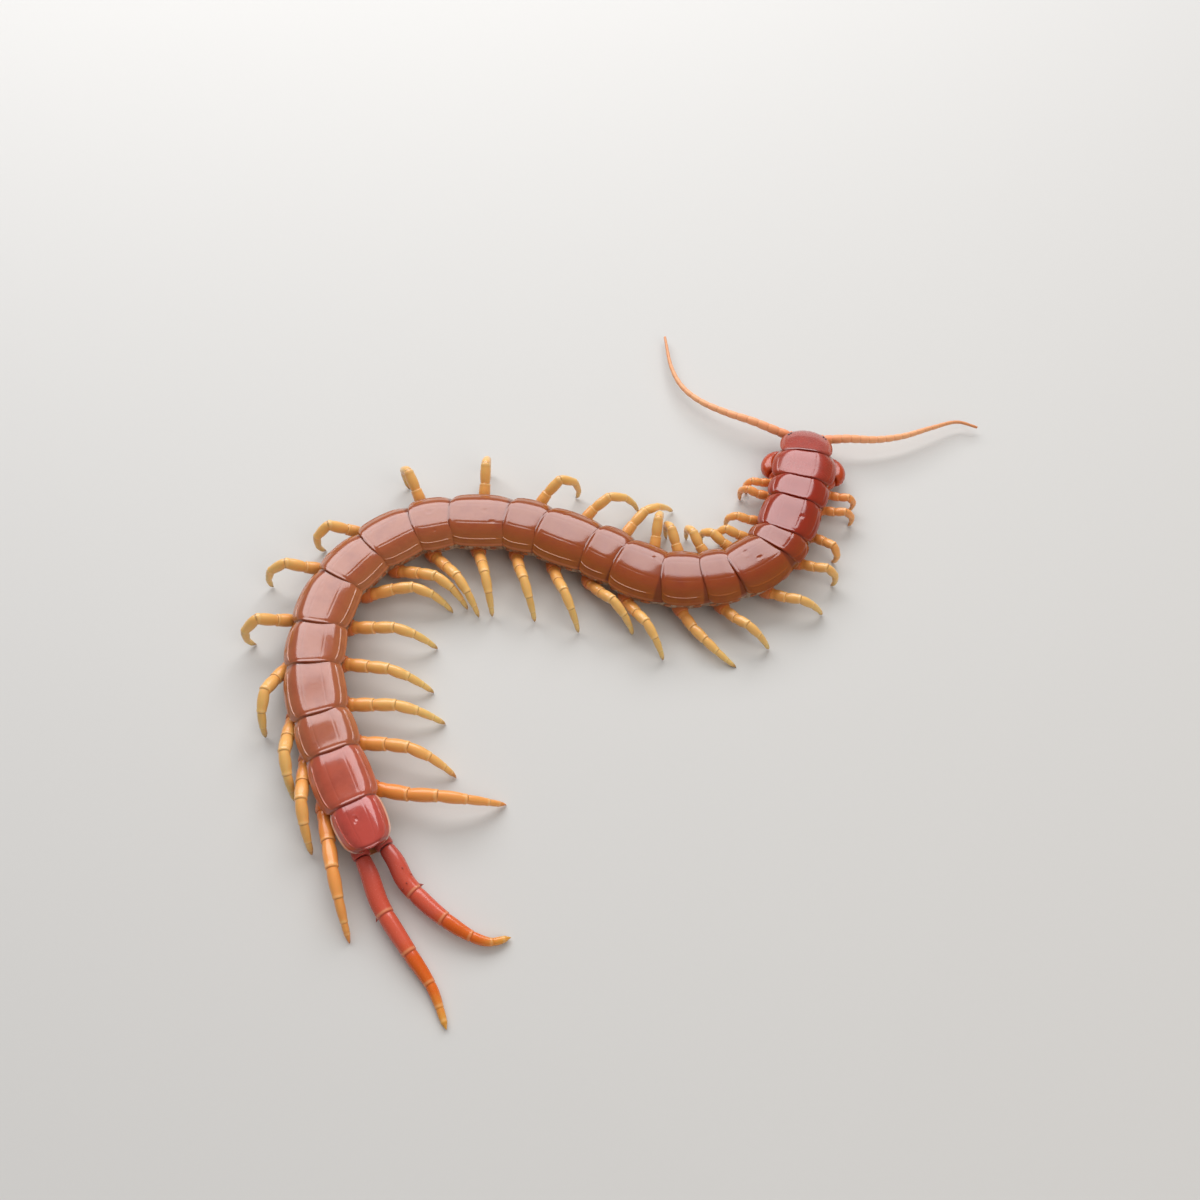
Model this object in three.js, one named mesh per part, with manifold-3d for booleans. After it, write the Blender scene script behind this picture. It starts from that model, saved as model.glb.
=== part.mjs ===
// A giant centipede at life size, still, standing on the floor.
// Millimetres, +Z up, the floor at z = 0, the origin under the middle of the whole outline.
import * as THREE from "three";
import { mergeVertices } from "three/addons/utils/BufferGeometryUtils.js";
import Module from "manifold-3d";

const wasm = await Module();
wasm.setup();

// The clear space that neighbouring parts keep, a little more between two lengths of the bent trunk
const gap = 0.3;
const trunkGap = 0.5;

// The line of the body on the floor, from the front of the head to the tail
const bodyLine = [
  [37.5, 47],
  [37, 37.5],
  [33.9, 26],
  [28.3, 14.1],
  [20.5, 9],
  [7, 8],
  [-7, 15],
  [-23.5, 21],
  [-42, 19.2],
  [-54.5, 7],
  [-57.1, -12],
  [-51.2, -30],
  [-43.2, -46],
];

// The bare length of each back plate, from the first behind the head to the last: long and short in turn
const plateLengths = [
  6.5, 5.5, 8.5, 4.5, 9.5, 6, 7.5, 9, 6.5, 10.5, 7, 11, 7.5, 9.5, 9, 10.5, 8.5, 10.5, 8, 10.5, 8,
];
const plateCount = plateLengths.length;

// Width of the body at a few of its plates, the ones between follow
const bodyWidths = [
  [1, 12.9],
  [2, 12.2],
  [3, 12],
  [5, 12.4],
  [8, 12.8],
  [13, 12.8],
  [15, 11.8],
  [17, 11.4],
  [20, 10.6],
  [21, 9.2],
];
// How much narrower the last plate is at its rear, as a share of its width
const lastPlateTaper = 0.22;

// Half a section of the body, from the middle of the back round to the middle of the belly:
// sideways as a share of the half width, and height over the floor
const sectionOutline = [
  [0, 8.7],
  [0.42, 8.5],
  [0.78, 7.8],
  [1, 6.4],
  [0.94, 5.7],
  [0.85, 4.6],
  [0.74, 3.2],
  [0.52, 2.3],
  [0, 2.2],
];
const plateEdgeHeight = 6.4;
const sectionMiddle = 5.4;

// How each plate swells and drops along its length: place, share of its width, and how far the back sinks
const plateSwell = [
  { along: 0, width: 0.9, sink: 0.45 },
  { along: 0.16, width: 0.965, sink: 0.12 },
  { along: 0.45, width: 1, sink: 0 },
  { along: 0.78, width: 0.985, sink: 0 },
  { along: 0.95, width: 0.95, sink: 0.02 },
  { along: 1, width: 0.92, sink: 0.1 },
];
const stepLength = 0.15;

// Leg pieces from prefemur, femur, tibia and two tarsi to the claw: share of the leg, share of its
// bend reached there, and the thickness in its middle and at its end
const legPieces = [
  { share: 0.25, bend: 0.15, middle: 1, end: 0.84 },
  { share: 0.22, bend: 0.12, middle: 0.93, end: 0.76 },
  { share: 0.21, bend: 0.6, middle: 0.82, end: 0.62 },
  { share: 0.17, bend: 0.85, middle: 0.6, end: 0.45 },
  { share: 0.09, bend: 1, middle: 0.42, end: 0.35 },
  { share: 0.06, bend: 1.1, middle: 0.3, end: 0.24 },
];
const legRootThickness = 0.9;
// Where along a piece it is thickest
const pieceMiddle = 0.45;
// Limits in degrees for the rise and the bend of a leg, and the halvings in which they are found
const riseLimits = [-60, 90];
const foldLimits = [0, 170];
const searchRounds = 30;

// Length and radius of the walking legs, and the place of their hips along the plate, at some of the pairs
const legLengths = [
  [1, 9],
  [2, 10],
  [4, 12],
  [6, 13.8],
  [8, 16.3],
  [10, 17.8],
  [17, 18.5],
  [19, 19.5],
  [20, 24],
];
const legRadii = [[1, 1], [5, 1.2], [12, 1.3], [20, 1.5]];
const hipShares = [[1, 0.92], [2, 0.6], [4, 0.5], [12, 0.5], [14, 0.75], [20, 0.78]];
const legSides = 7;
// How far the tip of a claw would go under the floor, which gives each foot its small flat
const footSink = 0.1;
const floorBlock = { size: 200, depth: 20 };
const hipSideShare = 0.93;
const hipHeight = 3.1;
const hipRadiusShare = 1.12;
const hipDepth = 2.4;
// How far the inner end of a hip rises on its way in, and how far its way in follows the leg's own line
const hipRise = 0.1;
const hipTurn = 0.7;
const hipShoulder = 0.8;
const cutterSize = 9;
const hipSides = 6;

// Each walking leg from the first to the twentieth: the way it leaves the body, in degrees ahead of
// straight out, the further turn along it, and how far it reaches over the floor
const rightLegs = [
  { lead: -15, turn: 40, reach: 4.5 },
  { lead: -10, turn: 40, reach: 5.5 },
  { lead: -20, turn: -20, reach: 5 },
  { lead: -5, turn: 30, reach: 6.5 },
  { lead: 25, turn: 35, reach: 10.5 },
  { lead: 20, turn: 40, reach: 11 },
  { lead: 28, turn: 36, reach: 14.5 },
  { lead: 54, turn: 8, reach: 13 },
  { lead: 61, turn: 20, reach: 12.5 },
  { lead: 37, turn: 20, reach: 13.5 },
  { lead: 27, turn: 12, reach: 13.5 },
  { lead: 17, turn: -5, reach: 13 },
  { lead: 24, turn: -6, reach: 15 },
  { lead: 34, turn: -26, reach: 15 },
  { lead: 44, turn: -45, reach: 16 },
  { lead: 0, turn: -4, reach: 16 },
  { lead: -14, turn: -8, reach: 16.8 },
  { lead: -22, turn: -10, reach: 17.5 },
  { lead: -26, turn: -30, reach: 18 },
  { lead: -45, turn: 28, reach: 22.5 },
];
const leftLegs = [
  { lead: -25, turn: 20, reach: 4.5 },
  { lead: -25, turn: 70, reach: 5.5 },
  { lead: -35, turn: 60, reach: 6.5 },
  { lead: -25, turn: 20, reach: 4.5 },
  { lead: -30, turn: 20, reach: 7.5 },
  { lead: -30, turn: 35, reach: 8 },
  { lead: -22, turn: 5, reach: 8 },
  { lead: -19, turn: 5, reach: 8.5 },
  { lead: 3, turn: 35, reach: 14.5 },
  { lead: 15, turn: 60, reach: 13.5 },
  { lead: 20, turn: 60, reach: 10 },
  { lead: 5, turn: -12, reach: 10 },
  { lead: -10, turn: -10, reach: 8.5 },
  { lead: -52, turn: -35, reach: 6.5 },
  { lead: -48, turn: 15, reach: 11 },
  { lead: -32, turn: 0, reach: 8 },
  { lead: -60, turn: -35, reach: 13.5 },
  { lead: -68, turn: -25, reach: 14.5 },
  { lead: -70, turn: -14, reach: 16 },
  { lead: -78, turn: -2, reach: 22.5 },
];

// Head
const headLength = 9;
const headWidth = 10.8;
const headPitch = 20;
const headRearHeight = 8.5;
// Share of the width and height of the head along its length
const headSwell = [
  { along: 0, width: 0.86, height: 0.9 },
  { along: 0.12, width: 0.96, height: 1 },
  { along: 0.38, width: 1, height: 1 },
  { along: 0.62, width: 0.93, height: 0.93 },
  { along: 0.8, width: 0.77, height: 0.8 },
  { along: 0.92, width: 0.55, height: 0.62 },
  { along: 1, width: 0.28, height: 0.4 },
];
const headOutline = [
  [0, 1],
  [0.45, 0.93],
  [0.82, 0.68],
  [1, 0.3],
  [0.94, 0.1],
  [0.8, -0.2],
  [0.45, -0.6],
  [0, -0.7],
];
const headTop = 1.9;
// The block that keeps the rear of the head clear of the trunk
const neckBlock = { length: 20, size: 40 };

// Four small eyes on each side of the head: ahead of its rear edge, sideways and over its middle
const eyeRadius = 0.3;
const eyeSides = 6;
const eyeRings = 4;
const eyePlaces = [
  [5.6, 4.6, 0.45],
  [6.35, 4.1, 0.45],
  [5.8, 4.2, 1],
  [6.55, 3.7, 1],
];

// Feelers: each starts at its socket in the head, and these are the further points of its line over the floor
const socketPlace = { ahead: 8.3, side: 3.9, height: -0.4 };
const socketRadius = 1.15;
const socketDepth = 2;
const feelers = {
  left: [
    [27, 48.6, 4.6],
    [21.8, 51.3, 4.2],
    [16.6, 55, 3.6],
    [13, 59.5, 3],
    [10.8, 66, 2.2],
    [9.6, 76.5, 1.4],
  ],
  right: [
    [46.5, 43.8, 4.5],
    [52.6, 43.9, 4.1],
    [58.7, 45.3, 3.6],
    [65.2, 48.1, 3],
    [71.2, 50.4, 2.2],
    [75.4, 49.4, 1.6],
  ],
};
const feelerRootRadius = 1;
const feelerTipRadius = 0.28;
const feelerRootLength = 0.8;
const feelerRings = 18;
const feelerSides = 7;

// Poison claws, in the frame of the head: ahead of its rear edge, sideways, height, and radius
const poisonClaw = [
  [-2.8, 6.2, 3.2, 1.3],
  [-2, 6.9, 3, 1.65],
  [0, 7, 2.7, 1.65],
  [2, 6.1, 2.3, 1.3],
  [3.8, 4.4, 1.6, 0.85],
  [5, 2.5, 1.5, 0.5],
  [5.4, 0.9, 1.4, 0.3],
];
const clawRootDepth = 2.6;
const clawRootTaper = 0.9;
const rootShoulder = 0.6;
const clawSides = 8;

// Last pair of legs: each starts behind the last plate, and these are the further points of its line
const lastRoot = { behind: 0.5, side: 2.1, height: 3.8 };
const lastLegs = {
  left: [
    [-43.4, -50.2, 3.5],
    [-41.3, -55, 2.9],
    [-36, -62.6, 2.1],
    [-31.9, -68.2, 1.1],
    [-29.2, -74.5, 0.5],
  ],
  right: [
    [-39.2, -48, 3.5],
    [-37.2, -51.4, 2.9],
    [-29.8, -57.8, 2.1],
    [-23.4, -60.7, 1.1],
    [-19.6, -59.8, 0.5],
  ],
};
const lastLegRadii = [1.5, 1.65, 1.55, 1.3, 0.9, 0.5];
const lastLegSides = 8;
const lastLegRings = 3;
const lastRootDepth = 3;

const shellRed = { color: 0x8c2f1d, roughness: 0.3, metalness: 0 };
const headRed = { color: 0x8a2a22, roughness: 0.35, metalness: 0 };
const legAmber = { color: 0xd99a3a, roughness: 0.4, metalness: 0 };
const feelerPeach = { color: 0xe09a60, roughness: 0.45, metalness: 0 };
const clawOrange = { color: 0xc8481e, roughness: 0.3, metalness: 0 };
const lastLegCoral = { color: 0xc8502e, roughness: 0.35, metalness: 0 };

// A value between the rows of a short list of [place, value]
function between(rows, place) {
  const after = rows.findIndex(([at]) => at >= place);
  if (after <= 0) return rows[after === 0 ? 0 : rows.length - 1][1];
  const [lowAt, low] = rows[after - 1];
  const [highAt, high] = rows[after];
  return THREE.MathUtils.mapLinear(place, lowAt, highAt, low, high);
}

// Points nearer than this are one point
const weldDistance = 1e-4;

// A closed skin over rings of points, all with as many points, with a fan over each end
function loft(rings) {
  const sides = rings[0].length;
  const points = rings.flat();
  const middleOf = (ring) =>
    ring.reduce((sum, point) => sum.add(point), new THREE.Vector3()).divideScalar(sides);
  const firstMiddle = points.length;
  points.push(middleOf(rings[0]), middleOf(rings[rings.length - 1]));
  const faces = [];
  for (let side = 0; side < sides; side += 1) {
    const next = (side + 1) % sides;
    faces.push(firstMiddle, next, side);
    for (let ring = 0; ring + 1 < rings.length; ring += 1) {
      const here = ring * sides;
      const ahead = here + sides;
      faces.push(here + side, here + next, ahead + side);
      faces.push(here + next, ahead + next, ahead + side);
    }
    const last = (rings.length - 1) * sides;
    faces.push(firstMiddle + 1, last + side, last + next);
  }
  const skin = new THREE.BufferGeometry().setFromPoints(points);
  skin.setIndex(faces);
  return skin;
}

const upward = new THREE.Vector3(0, 0, 1);

// A round limb along a line of points, with a radius at each. It keeps its sides where it turns back
// under itself.
function limb(points, radii, sides) {
  const across = new THREE.Vector3();
  const rings = points.map((point, index) => {
    const before = points[Math.max(index - 1, 0)];
    const after = points[Math.min(index + 1, points.length - 1)];
    const along = new THREE.Vector3().subVectors(after, before).normalize();
    const aside = new THREE.Vector3().crossVectors(along, upward).normalize();
    if (aside.dot(across) < 0) aside.negate();
    across.copy(aside);
    const over = new THREE.Vector3().crossVectors(across, along);
    return Array.from({ length: sides }, (_, side) => {
      const angle = (2 * Math.PI * side) / sides;
      return point
        .clone()
        .addScaledVector(across, radii[index] * Math.cos(angle))
        .addScaledVector(over, radii[index] * Math.sin(angle));
    });
  });
  return loft(rings);
}

// A geometry as a solid for joining and cutting, turned right side out if its rings ran the other way
function solidOf(geometry) {
  const bare = new THREE.BufferGeometry().setAttribute("position", geometry.getAttribute("position"));
  bare.setIndex(geometry.index);
  const merged = mergeVertices(bare, weldDistance);
  const corners = merged.index.array;
  const kept = [];
  for (let at = 0; at < corners.length; at += 3) {
    const [a, b, c] = corners.slice(at, at + 3);
    if (a !== b && b !== c && c !== a) kept.push(a, b, c);
  }
  const make = (triVerts) =>
    new wasm.Manifold(
      new wasm.Mesh({
        numProp: 3,
        vertProperties: merged.attributes.position.array,
        triVerts: new Uint32Array(triVerts),
      }),
    );
  const made = make(kept);
  return made.volume() < 0 ? make(kept.reverse()) : made;
}

// The largest closed piece of a solid, as a geometry
function geometryOf(solid) {
  const pieces = solid.decompose();
  pieces.sort((a, b) => b.volume() - a.volume());
  const mesh = pieces[0].getMesh();
  const geometry = new THREE.BufferGeometry();
  geometry.setAttribute("position", new THREE.BufferAttribute(mesh.vertProperties, 3));
  geometry.setIndex(new THREE.BufferAttribute(mesh.triVerts, 1));
  return geometry;
}

function meshOf(name, solid, finish) {
  const mesh = new THREE.Mesh(geometryOf(solid), new THREE.MeshStandardMaterial(finish));
  mesh.name = name;
  return mesh;
}

// Everything under the floor is cut away, which leaves small flats where the feet stand
const { size: floorSize, depth: floorDepth } = floorBlock;
const underFloor = solidOf(
  new THREE.BoxGeometry(floorSize, floorSize, floorDepth).translate(0, 0, -floorDepth / 2),
);

// Places along the body line, measured from the rear edge of the head
const line = new THREE.CatmullRomCurve3(
  bodyLine.map(([x, y]) => new THREE.Vector3(x, y, 0)),
  false,
  "centripetal",
);
line.arcLengthDivisions = 800;
const neckStart = line.getLengths()[Math.round(line.arcLengthDivisions / (bodyLine.length - 1))];
const trunkLength = line.getLength() - neckStart;
const plateTotal = plateLengths.reduce((sum, length) => sum + length, 0);
const plateEdges = [0];
for (const length of plateLengths) {
  plateEdges.push(plateEdges[plateEdges.length - 1] + (length / plateTotal) * trunkLength);
}

// The point of the line at a distance behind the head, and the angle of the way to the head there
function placeAt(distance) {
  const share = THREE.MathUtils.clamp((neckStart + distance) / line.getLength(), 0, 1);
  const point = line.getPointAt(share);
  const back = line.getTangentAt(share);
  return { point, heading: Math.atan2(-back.y, -back.x) };
}

// A group at a place of the body line: its X runs to the head and its Y to the left side
function frameAt(distance) {
  const { point, heading } = placeAt(distance);
  const frame = new THREE.Group();
  frame.position.copy(point);
  frame.rotation.z = heading;
  frame.updateMatrix();
  return frame;
}

// The ring of a body section at a distance behind the head, with a growth all round
function bodyRing(distance, halfWidth, sink, growth) {
  const rise = sectionOutline[0][1] - plateEdgeHeight;
  const half = sectionOutline.map(([side, height]) => {
    const lowered = height - (sink * Math.max(height - plateEdgeHeight + rise, 0)) / (2 * rise);
    return [side * halfWidth, lowered];
  });
  const whole = [...half, ...half.slice(1, -1).reverse().map(([side, height]) => [-side, height])];
  const { matrix } = frameAt(distance);
  return whole.map(([side, height]) => {
    const outward = new THREE.Vector3(0, side, height - sectionMiddle).setLength(growth);
    return new THREE.Vector3(0, side, height).add(outward).applyMatrix4(matrix);
  });
}

// The rings of one back plate's length of the body
function plateRings(plate, startTrim, endTrim, growth = 0) {
  const start = plateEdges[plate - 1];
  const end = plateEdges[plate];
  return plateSwell.map(({ along, width, sink }) => {
    const narrowing = plate === plateCount ? 1 - lastPlateTaper * along ** 2 : 1;
    const place = THREE.MathUtils.lerp(start + startTrim, end - endTrim, along);
    return bodyRing(place, (between(bodyWidths, plate) / 2) * width * narrowing, sink, growth);
  });
}

// The line of a walking leg in the frame of its plate: it rises from the hip and comes down to the floor.
// The rise and the bend are found for which it has its reach and ends on the floor.
function legLine(side, hipSide, { lead, turn, reach }, length) {
  const trace = (rise, fall) => {
    const points = [new THREE.Vector3(0, side * hipSide, hipHeight)];
    let done = 0;
    let run = 0;
    for (const { share, bend } of legPieces) {
      const middle = done + share / 2;
      const slope = THREE.MathUtils.degToRad(rise - fall * bend);
      const bearing = THREE.MathUtils.degToRad(lead + turn * middle);
      const flat = length * share * Math.cos(slope);
      const step = new THREE.Vector3(
        flat * Math.sin(bearing),
        side * flat * Math.cos(bearing),
        length * share * Math.sin(slope),
      );
      points.push(points[points.length - 1].clone().add(step));
      run += flat;
      done += share;
    }
    return { points, run, foot: points[points.length - 1].z };
  };
  let found = null;
  let [flatter, steeper] = foldLimits;
  for (let round = 0; round < searchRounds; round += 1) {
    const fall = (flatter + steeper) / 2;
    let [low, high] = riseLimits;
    for (let inner = 0; inner < searchRounds; inner += 1) {
      const rise = (low + high) / 2;
      found = trace(rise, fall);
      if (found.foot < 0) low = rise;
      else high = rise;
    }
    if (found.run > reach) flatter = fall;
    else steeper = fall;
  }
  return found.points;
}

// Points and radii of a leg, with the middle of each piece a little thicker than its joints
function legRings(points, radius) {
  const rings = [];
  rings.push([points[0].clone(), radius * legRootThickness]);
  legPieces.forEach(({ middle, end }, piece) => {
    const from = points[piece];
    const to = points[piece + 1];
    rings.push([from.clone().lerp(to, pieceMiddle), radius * middle]);
    rings.push([to.clone(), radius * end]);
  });
  return rings;
}

// Adds a walking leg and gives back the short hip on the body that it grows from
function walkingLeg(plate, side, pose) {
  const distance = THREE.MathUtils.lerp(plateEdges[plate - 1], plateEdges[plate], between(hipShares, plate));
  const frame = frameAt(distance);
  const radius = between(legRadii, plate);
  const hipSide = (hipSideShare * between(bodyWidths, plate)) / 2;
  const points = legLine(side, hipSide, pose, between(legLengths, plate));
  const away = new THREE.Vector3().subVectors(points[1], points[0]).normalize();
  const inward = new THREE.Vector3(0, -side, hipRise).lerp(away.clone().negate(), hipTurn).normalize();
  const hip = limb(
    [
      points[0].clone().addScaledVector(inward, hipDepth),
      points[0].clone().addScaledVector(away, -hipShoulder),
      points[0],
    ],
    [radius * hipRadiusShare, radius * hipRadiusShare, radius],
    hipSides,
  );
  const beyond = new THREE.BoxGeometry(cutterSize, cutterSize, cutterSize);
  beyond.translate(0, 0, cutterSize / 2);
  beyond.applyQuaternion(new THREE.Quaternion().setFromUnitVectors(upward, away));
  beyond.translate(...points[0].toArray());
  const hipSolid = solidOf(hip.applyMatrix4(frame.matrix)).subtract(
    solidOf(beyond.applyMatrix4(frame.matrix)),
  );
  points[0].addScaledVector(away, gap);
  points[points.length - 1].z = -footSink;
  const rings = legRings(points, radius);
  const solid = solidOf(
    limb(
      rings.map(([point]) => point),
      rings.map(([, thick]) => thick),
      legSides,
    ).applyMatrix4(frame.matrix),
  )
    .subtract(underFloor)
    .subtract(grownTrunk);
  const name = `leg_${side > 0 ? "left" : "right"}_${String(plate).padStart(2, "0")}`;
  centipede.add(meshOf(name, solid, legAmber));
  return hipSolid;
}

// The whole trunk grown all round. It is cut from the legs, so that a leg that passes closely beside
// the body keeps clear of it.
const legClearance = 0.4;
const grownRings = plateLengths.flatMap((_, index) => plateRings(index + 1, 0, stepLength, legClearance));
const grownTrunk = solidOf(loft(grownRings));

// The middle of the whole outline, in the frame of the lines above, is the origin
const outlineMiddle = [1.7, 1];
const centipede = new THREE.Group();
centipede.position.set(-outlineMiddle[0], -outlineMiddle[1], 0);

const hips = [];
for (let plate = 1; plate < plateCount; plate += 1) {
  for (const [side, poses] of [[1, leftLegs], [-1, rightLegs]]) {
    (hips[plate] ??= []).push(walkingLeg(plate, side, poses[plate - 1]));
  }
}

// The line of a poison claw in the frame of the neck
function clawLine(side) {
  const points = poisonClaw.map(([ahead, out, height]) => new THREE.Vector3(ahead, side * out, height));
  return { points, radii: poisonClaw.map(([, , , radius]) => radius) };
}
for (const side of [1, -1]) {
  const { points, radii } = clawLine(side);
  const away = new THREE.Vector3().subVectors(points[1], points[0]).normalize();
  const face = points[0].clone().addScaledVector(away, -gap);
  const shoulder = face.clone().addScaledVector(away, -rootShoulder);
  const inside = shoulder.clone().add(new THREE.Vector3(-1, -side, 0).setLength(clawRootDepth));
  const root = limb([inside, shoulder, face], [radii[0], radii[0], radii[0] * clawRootTaper], hipSides);
  hips[1].push(solidOf(root.applyMatrix4(frameAt(0).matrix)));
}

// The last pair of legs, and the lobes behind the last plate that carry them
const tail = frameAt(trunkLength);
for (const [name, side] of [["left", 1], ["right", -1]]) {
  const face = new THREE.Vector3(-lastRoot.behind, side * lastRoot.side, lastRoot.height);
  face.applyMatrix4(tail.matrix);
  const route = lastLegs[name].map((place) => new THREE.Vector3(...place));
  const away = route[0].clone().sub(face).normalize();
  const inside = new THREE.Vector3(lastRootDepth, (side * lastRoot.side) / 2, lastRoot.height);
  inside.applyMatrix4(tail.matrix);
  const shoulder = face.clone().addScaledVector(away, -rootShoulder);
  const lobeRadius = lastLegRadii[0] * hipRadiusShare;
  const lobe = limb([inside, shoulder, face], [lobeRadius, lobeRadius, lastLegRadii[0]], lastLegSides);
  (hips[plateCount] ??= []).push(solidOf(lobe));
  const root = face.clone().addScaledVector(away, gap);
  const curve = new THREE.CatmullRomCurve3([root, ...route]);
  const points = curve.getPoints(lastLegRings * route.length);
  points[1].copy(root).addScaledVector(away, points[1].distanceTo(root));
  const radii = points.map((_, index) => between([...lastLegRadii.entries()], index / lastLegRings));
  const solid = solidOf(limb(points, radii, lastLegSides)).subtract(underFloor);
  centipede.add(meshOf(`leg_${name}_21`, solid, lastLegCoral));
}

// The trunk in lengths of two plates, and the last plate by itself
for (let plate = 1; plate <= plateCount; plate += 2) {
  const last = Math.min(plate + 1, plateCount);
  const rings = plateRings(plate, trunkGap / 2, plate < last ? 0 : trunkGap / 2);
  if (last > plate) rings.push(...plateRings(last, stepLength, trunkGap / 2));
  let solid = solidOf(loft(rings));
  for (let owner = plate; owner <= last; owner += 1) {
    for (const hip of hips[owner] ?? []) solid = solid.add(hip);
  }
  const numbers = [...new Set([plate, last])].map((number) => String(number).padStart(2, "0"));
  centipede.add(meshOf(`trunk_${numbers.join("_")}`, solid, shellRed));
}

// The head, pitched down to its front, with sockets for the feelers and four small eyes on each side
const neck = frameAt(0);
const pitch = new THREE.Matrix4()
  .makeTranslation(0, 0, headRearHeight - headTop)
  .multiply(new THREE.Matrix4().makeRotationY(THREE.MathUtils.degToRad(headPitch)));
const onHead = (ahead, side, rise) => new THREE.Vector3(ahead, side, rise).applyMatrix4(pitch);
function headRing({ along, width, height }) {
  const half = headOutline.map(([side, rise]) => [(side * width * headWidth) / 2, rise * height * headTop]);
  const whole = [...half, ...half.slice(1, -1).reverse().map(([side, rise]) => [-side, rise])];
  return whole.map(([side, rise]) => onHead(along * headLength, side, rise));
}
let headSolid = solidOf(loft(headSwell.map(headRing)));
const nearbyTrunk = new THREE.BoxGeometry(neckBlock.length, neckBlock.size, neckBlock.size);
nearbyTrunk.translate((gap - neckBlock.length) / 2, 0, 0);
headSolid = headSolid.subtract(solidOf(nearbyTrunk));
const { ahead: socketAhead, side: socketSide, height: socketRise } = socketPlace;
for (const [name, side] of [["left", 1], ["right", -1]]) {
  const socket = onHead(socketAhead, side * socketSide, socketRise);
  const route = feelers[name].map((place) => new THREE.Vector3(...place));
  const toNeck = neck.matrix.clone().invert();
  const outward = route[0].clone().applyMatrix4(toNeck).sub(socket).normalize();
  const inside = socket.clone().addScaledVector(outward, -socketDepth);
  const shoulder = socket.clone().addScaledVector(outward, -rootShoulder);
  const boss = limb([inside, shoulder, socket], [socketRadius, socketRadius, feelerRootRadius], hipSides);
  headSolid = headSolid.add(solidOf(boss));
  for (const [eyeAhead, eyeSide, eyeRise] of eyePlaces) {
    const eye = new THREE.SphereGeometry(eyeRadius, eyeSides, eyeRings);
    eye.translate(...onHead(eyeAhead, side * eyeSide, eyeRise).toArray());
    headSolid = headSolid.add(solidOf(eye));
  }
  const root = socket.clone().addScaledVector(outward, gap).applyMatrix4(neck.matrix);
  const straight = socket.clone().addScaledVector(outward, gap + feelerRootLength).applyMatrix4(neck.matrix);
  const curve = new THREE.CatmullRomCurve3([straight, ...route]);
  const points = [root, ...curve.getSpacedPoints(feelerRings)];
  const radii = points.map((_, index) =>
    THREE.MathUtils.lerp(feelerRootRadius, feelerTipRadius, Math.min(index / feelerRings, 1)),
  );
  centipede.add(meshOf(`feeler_${name}`, solidOf(limb(points, radii, feelerSides)), feelerPeach));
}
neck.add(meshOf("head", headSolid, headRed));
centipede.add(neck);

// Poison claws, whose roots stand on the front of the trunk
for (const [name, side] of [["left", 1], ["right", -1]]) {
  const { points, radii } = clawLine(side);
  neck.add(meshOf(`poison_claw_${name}`, solidOf(limb(points, radii, clawSides)), clawOrange));
}

export default centipede;
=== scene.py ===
import math

import bmesh
import bpy
import numpy as np
from mathutils import Matrix, Vector


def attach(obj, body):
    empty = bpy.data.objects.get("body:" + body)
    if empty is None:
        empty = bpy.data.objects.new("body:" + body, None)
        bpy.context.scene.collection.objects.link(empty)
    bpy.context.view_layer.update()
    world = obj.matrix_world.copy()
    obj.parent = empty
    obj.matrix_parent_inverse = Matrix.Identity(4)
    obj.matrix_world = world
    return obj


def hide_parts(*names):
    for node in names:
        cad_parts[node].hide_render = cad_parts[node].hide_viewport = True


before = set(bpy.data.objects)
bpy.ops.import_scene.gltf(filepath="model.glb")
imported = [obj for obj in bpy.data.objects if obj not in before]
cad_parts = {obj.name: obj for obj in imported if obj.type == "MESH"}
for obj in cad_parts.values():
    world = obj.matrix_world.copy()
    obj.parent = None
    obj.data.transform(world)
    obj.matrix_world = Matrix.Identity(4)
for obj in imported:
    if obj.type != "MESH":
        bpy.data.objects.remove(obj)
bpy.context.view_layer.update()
print("frame loaded:", len(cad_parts), "nodes")

mm = 0.001
bothSides = (("left", 1), ("right", -1))


def clearSelection():
    if bpy.context.object and bpy.context.object.mode != "OBJECT":
        bpy.ops.object.mode_set(mode="OBJECT")
    bpy.ops.object.select_all(action="DESELECT")


def selectOnly(piece):
    clearSelection()
    piece.select_set(True)
    bpy.context.view_layer.objects.active = piece


def editMesh(piece):
    selectOnly(piece)
    bpy.ops.object.mode_set(mode="EDIT")


def selectPoints(piece, numbers):
    # picks points of the piece in edit mode by their numbers
    mesh = bmesh.from_edit_mesh(piece.data)
    mesh.verts.ensure_lookup_table()
    for part in (*mesh.faces, *mesh.edges, *mesh.verts):
        part.select = False
    for number in numbers:
        mesh.verts[number].select = True
    mesh.select_flush(True)
    bmesh.update_edit_mesh(piece.data)


def pointsOf(piece):
    flat = np.empty(3 * len(piece.data.vertices), np.float32)
    piece.data.vertices.foreach_get("co", flat)
    return flat.reshape(-1, 3).astype(float)


def movePoints(piece, points):
    piece.data.vertices.foreach_set("co", points.astype(np.float32).ravel())
    piece.data.update()


def facesOutwards(piece):
    editMesh(piece)
    bpy.ops.mesh.select_all(action="SELECT")
    bpy.ops.mesh.remove_doubles(threshold=1e-6)
    bpy.ops.mesh.normals_make_consistent(inside=False)
    bpy.ops.object.mode_set(mode="OBJECT")


def useModifier(piece, kind, **settings):
    selectOnly(piece)
    bpy.ops.object.modifier_add(type=kind)
    modifier = piece.modifiers[-1]
    for name, value in settings.items():
        setattr(modifier, name, value)
    bpy.ops.object.modifier_apply(modifier=modifier.name)


def subdivide(piece, levels):
    if levels:
        useModifier(piece, "SUBSURF", levels=levels, render_levels=levels)


def smooth(piece, angle=50):
    selectOnly(piece)
    bpy.ops.object.shade_smooth_by_angle(angle=math.radians(angle))


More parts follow.
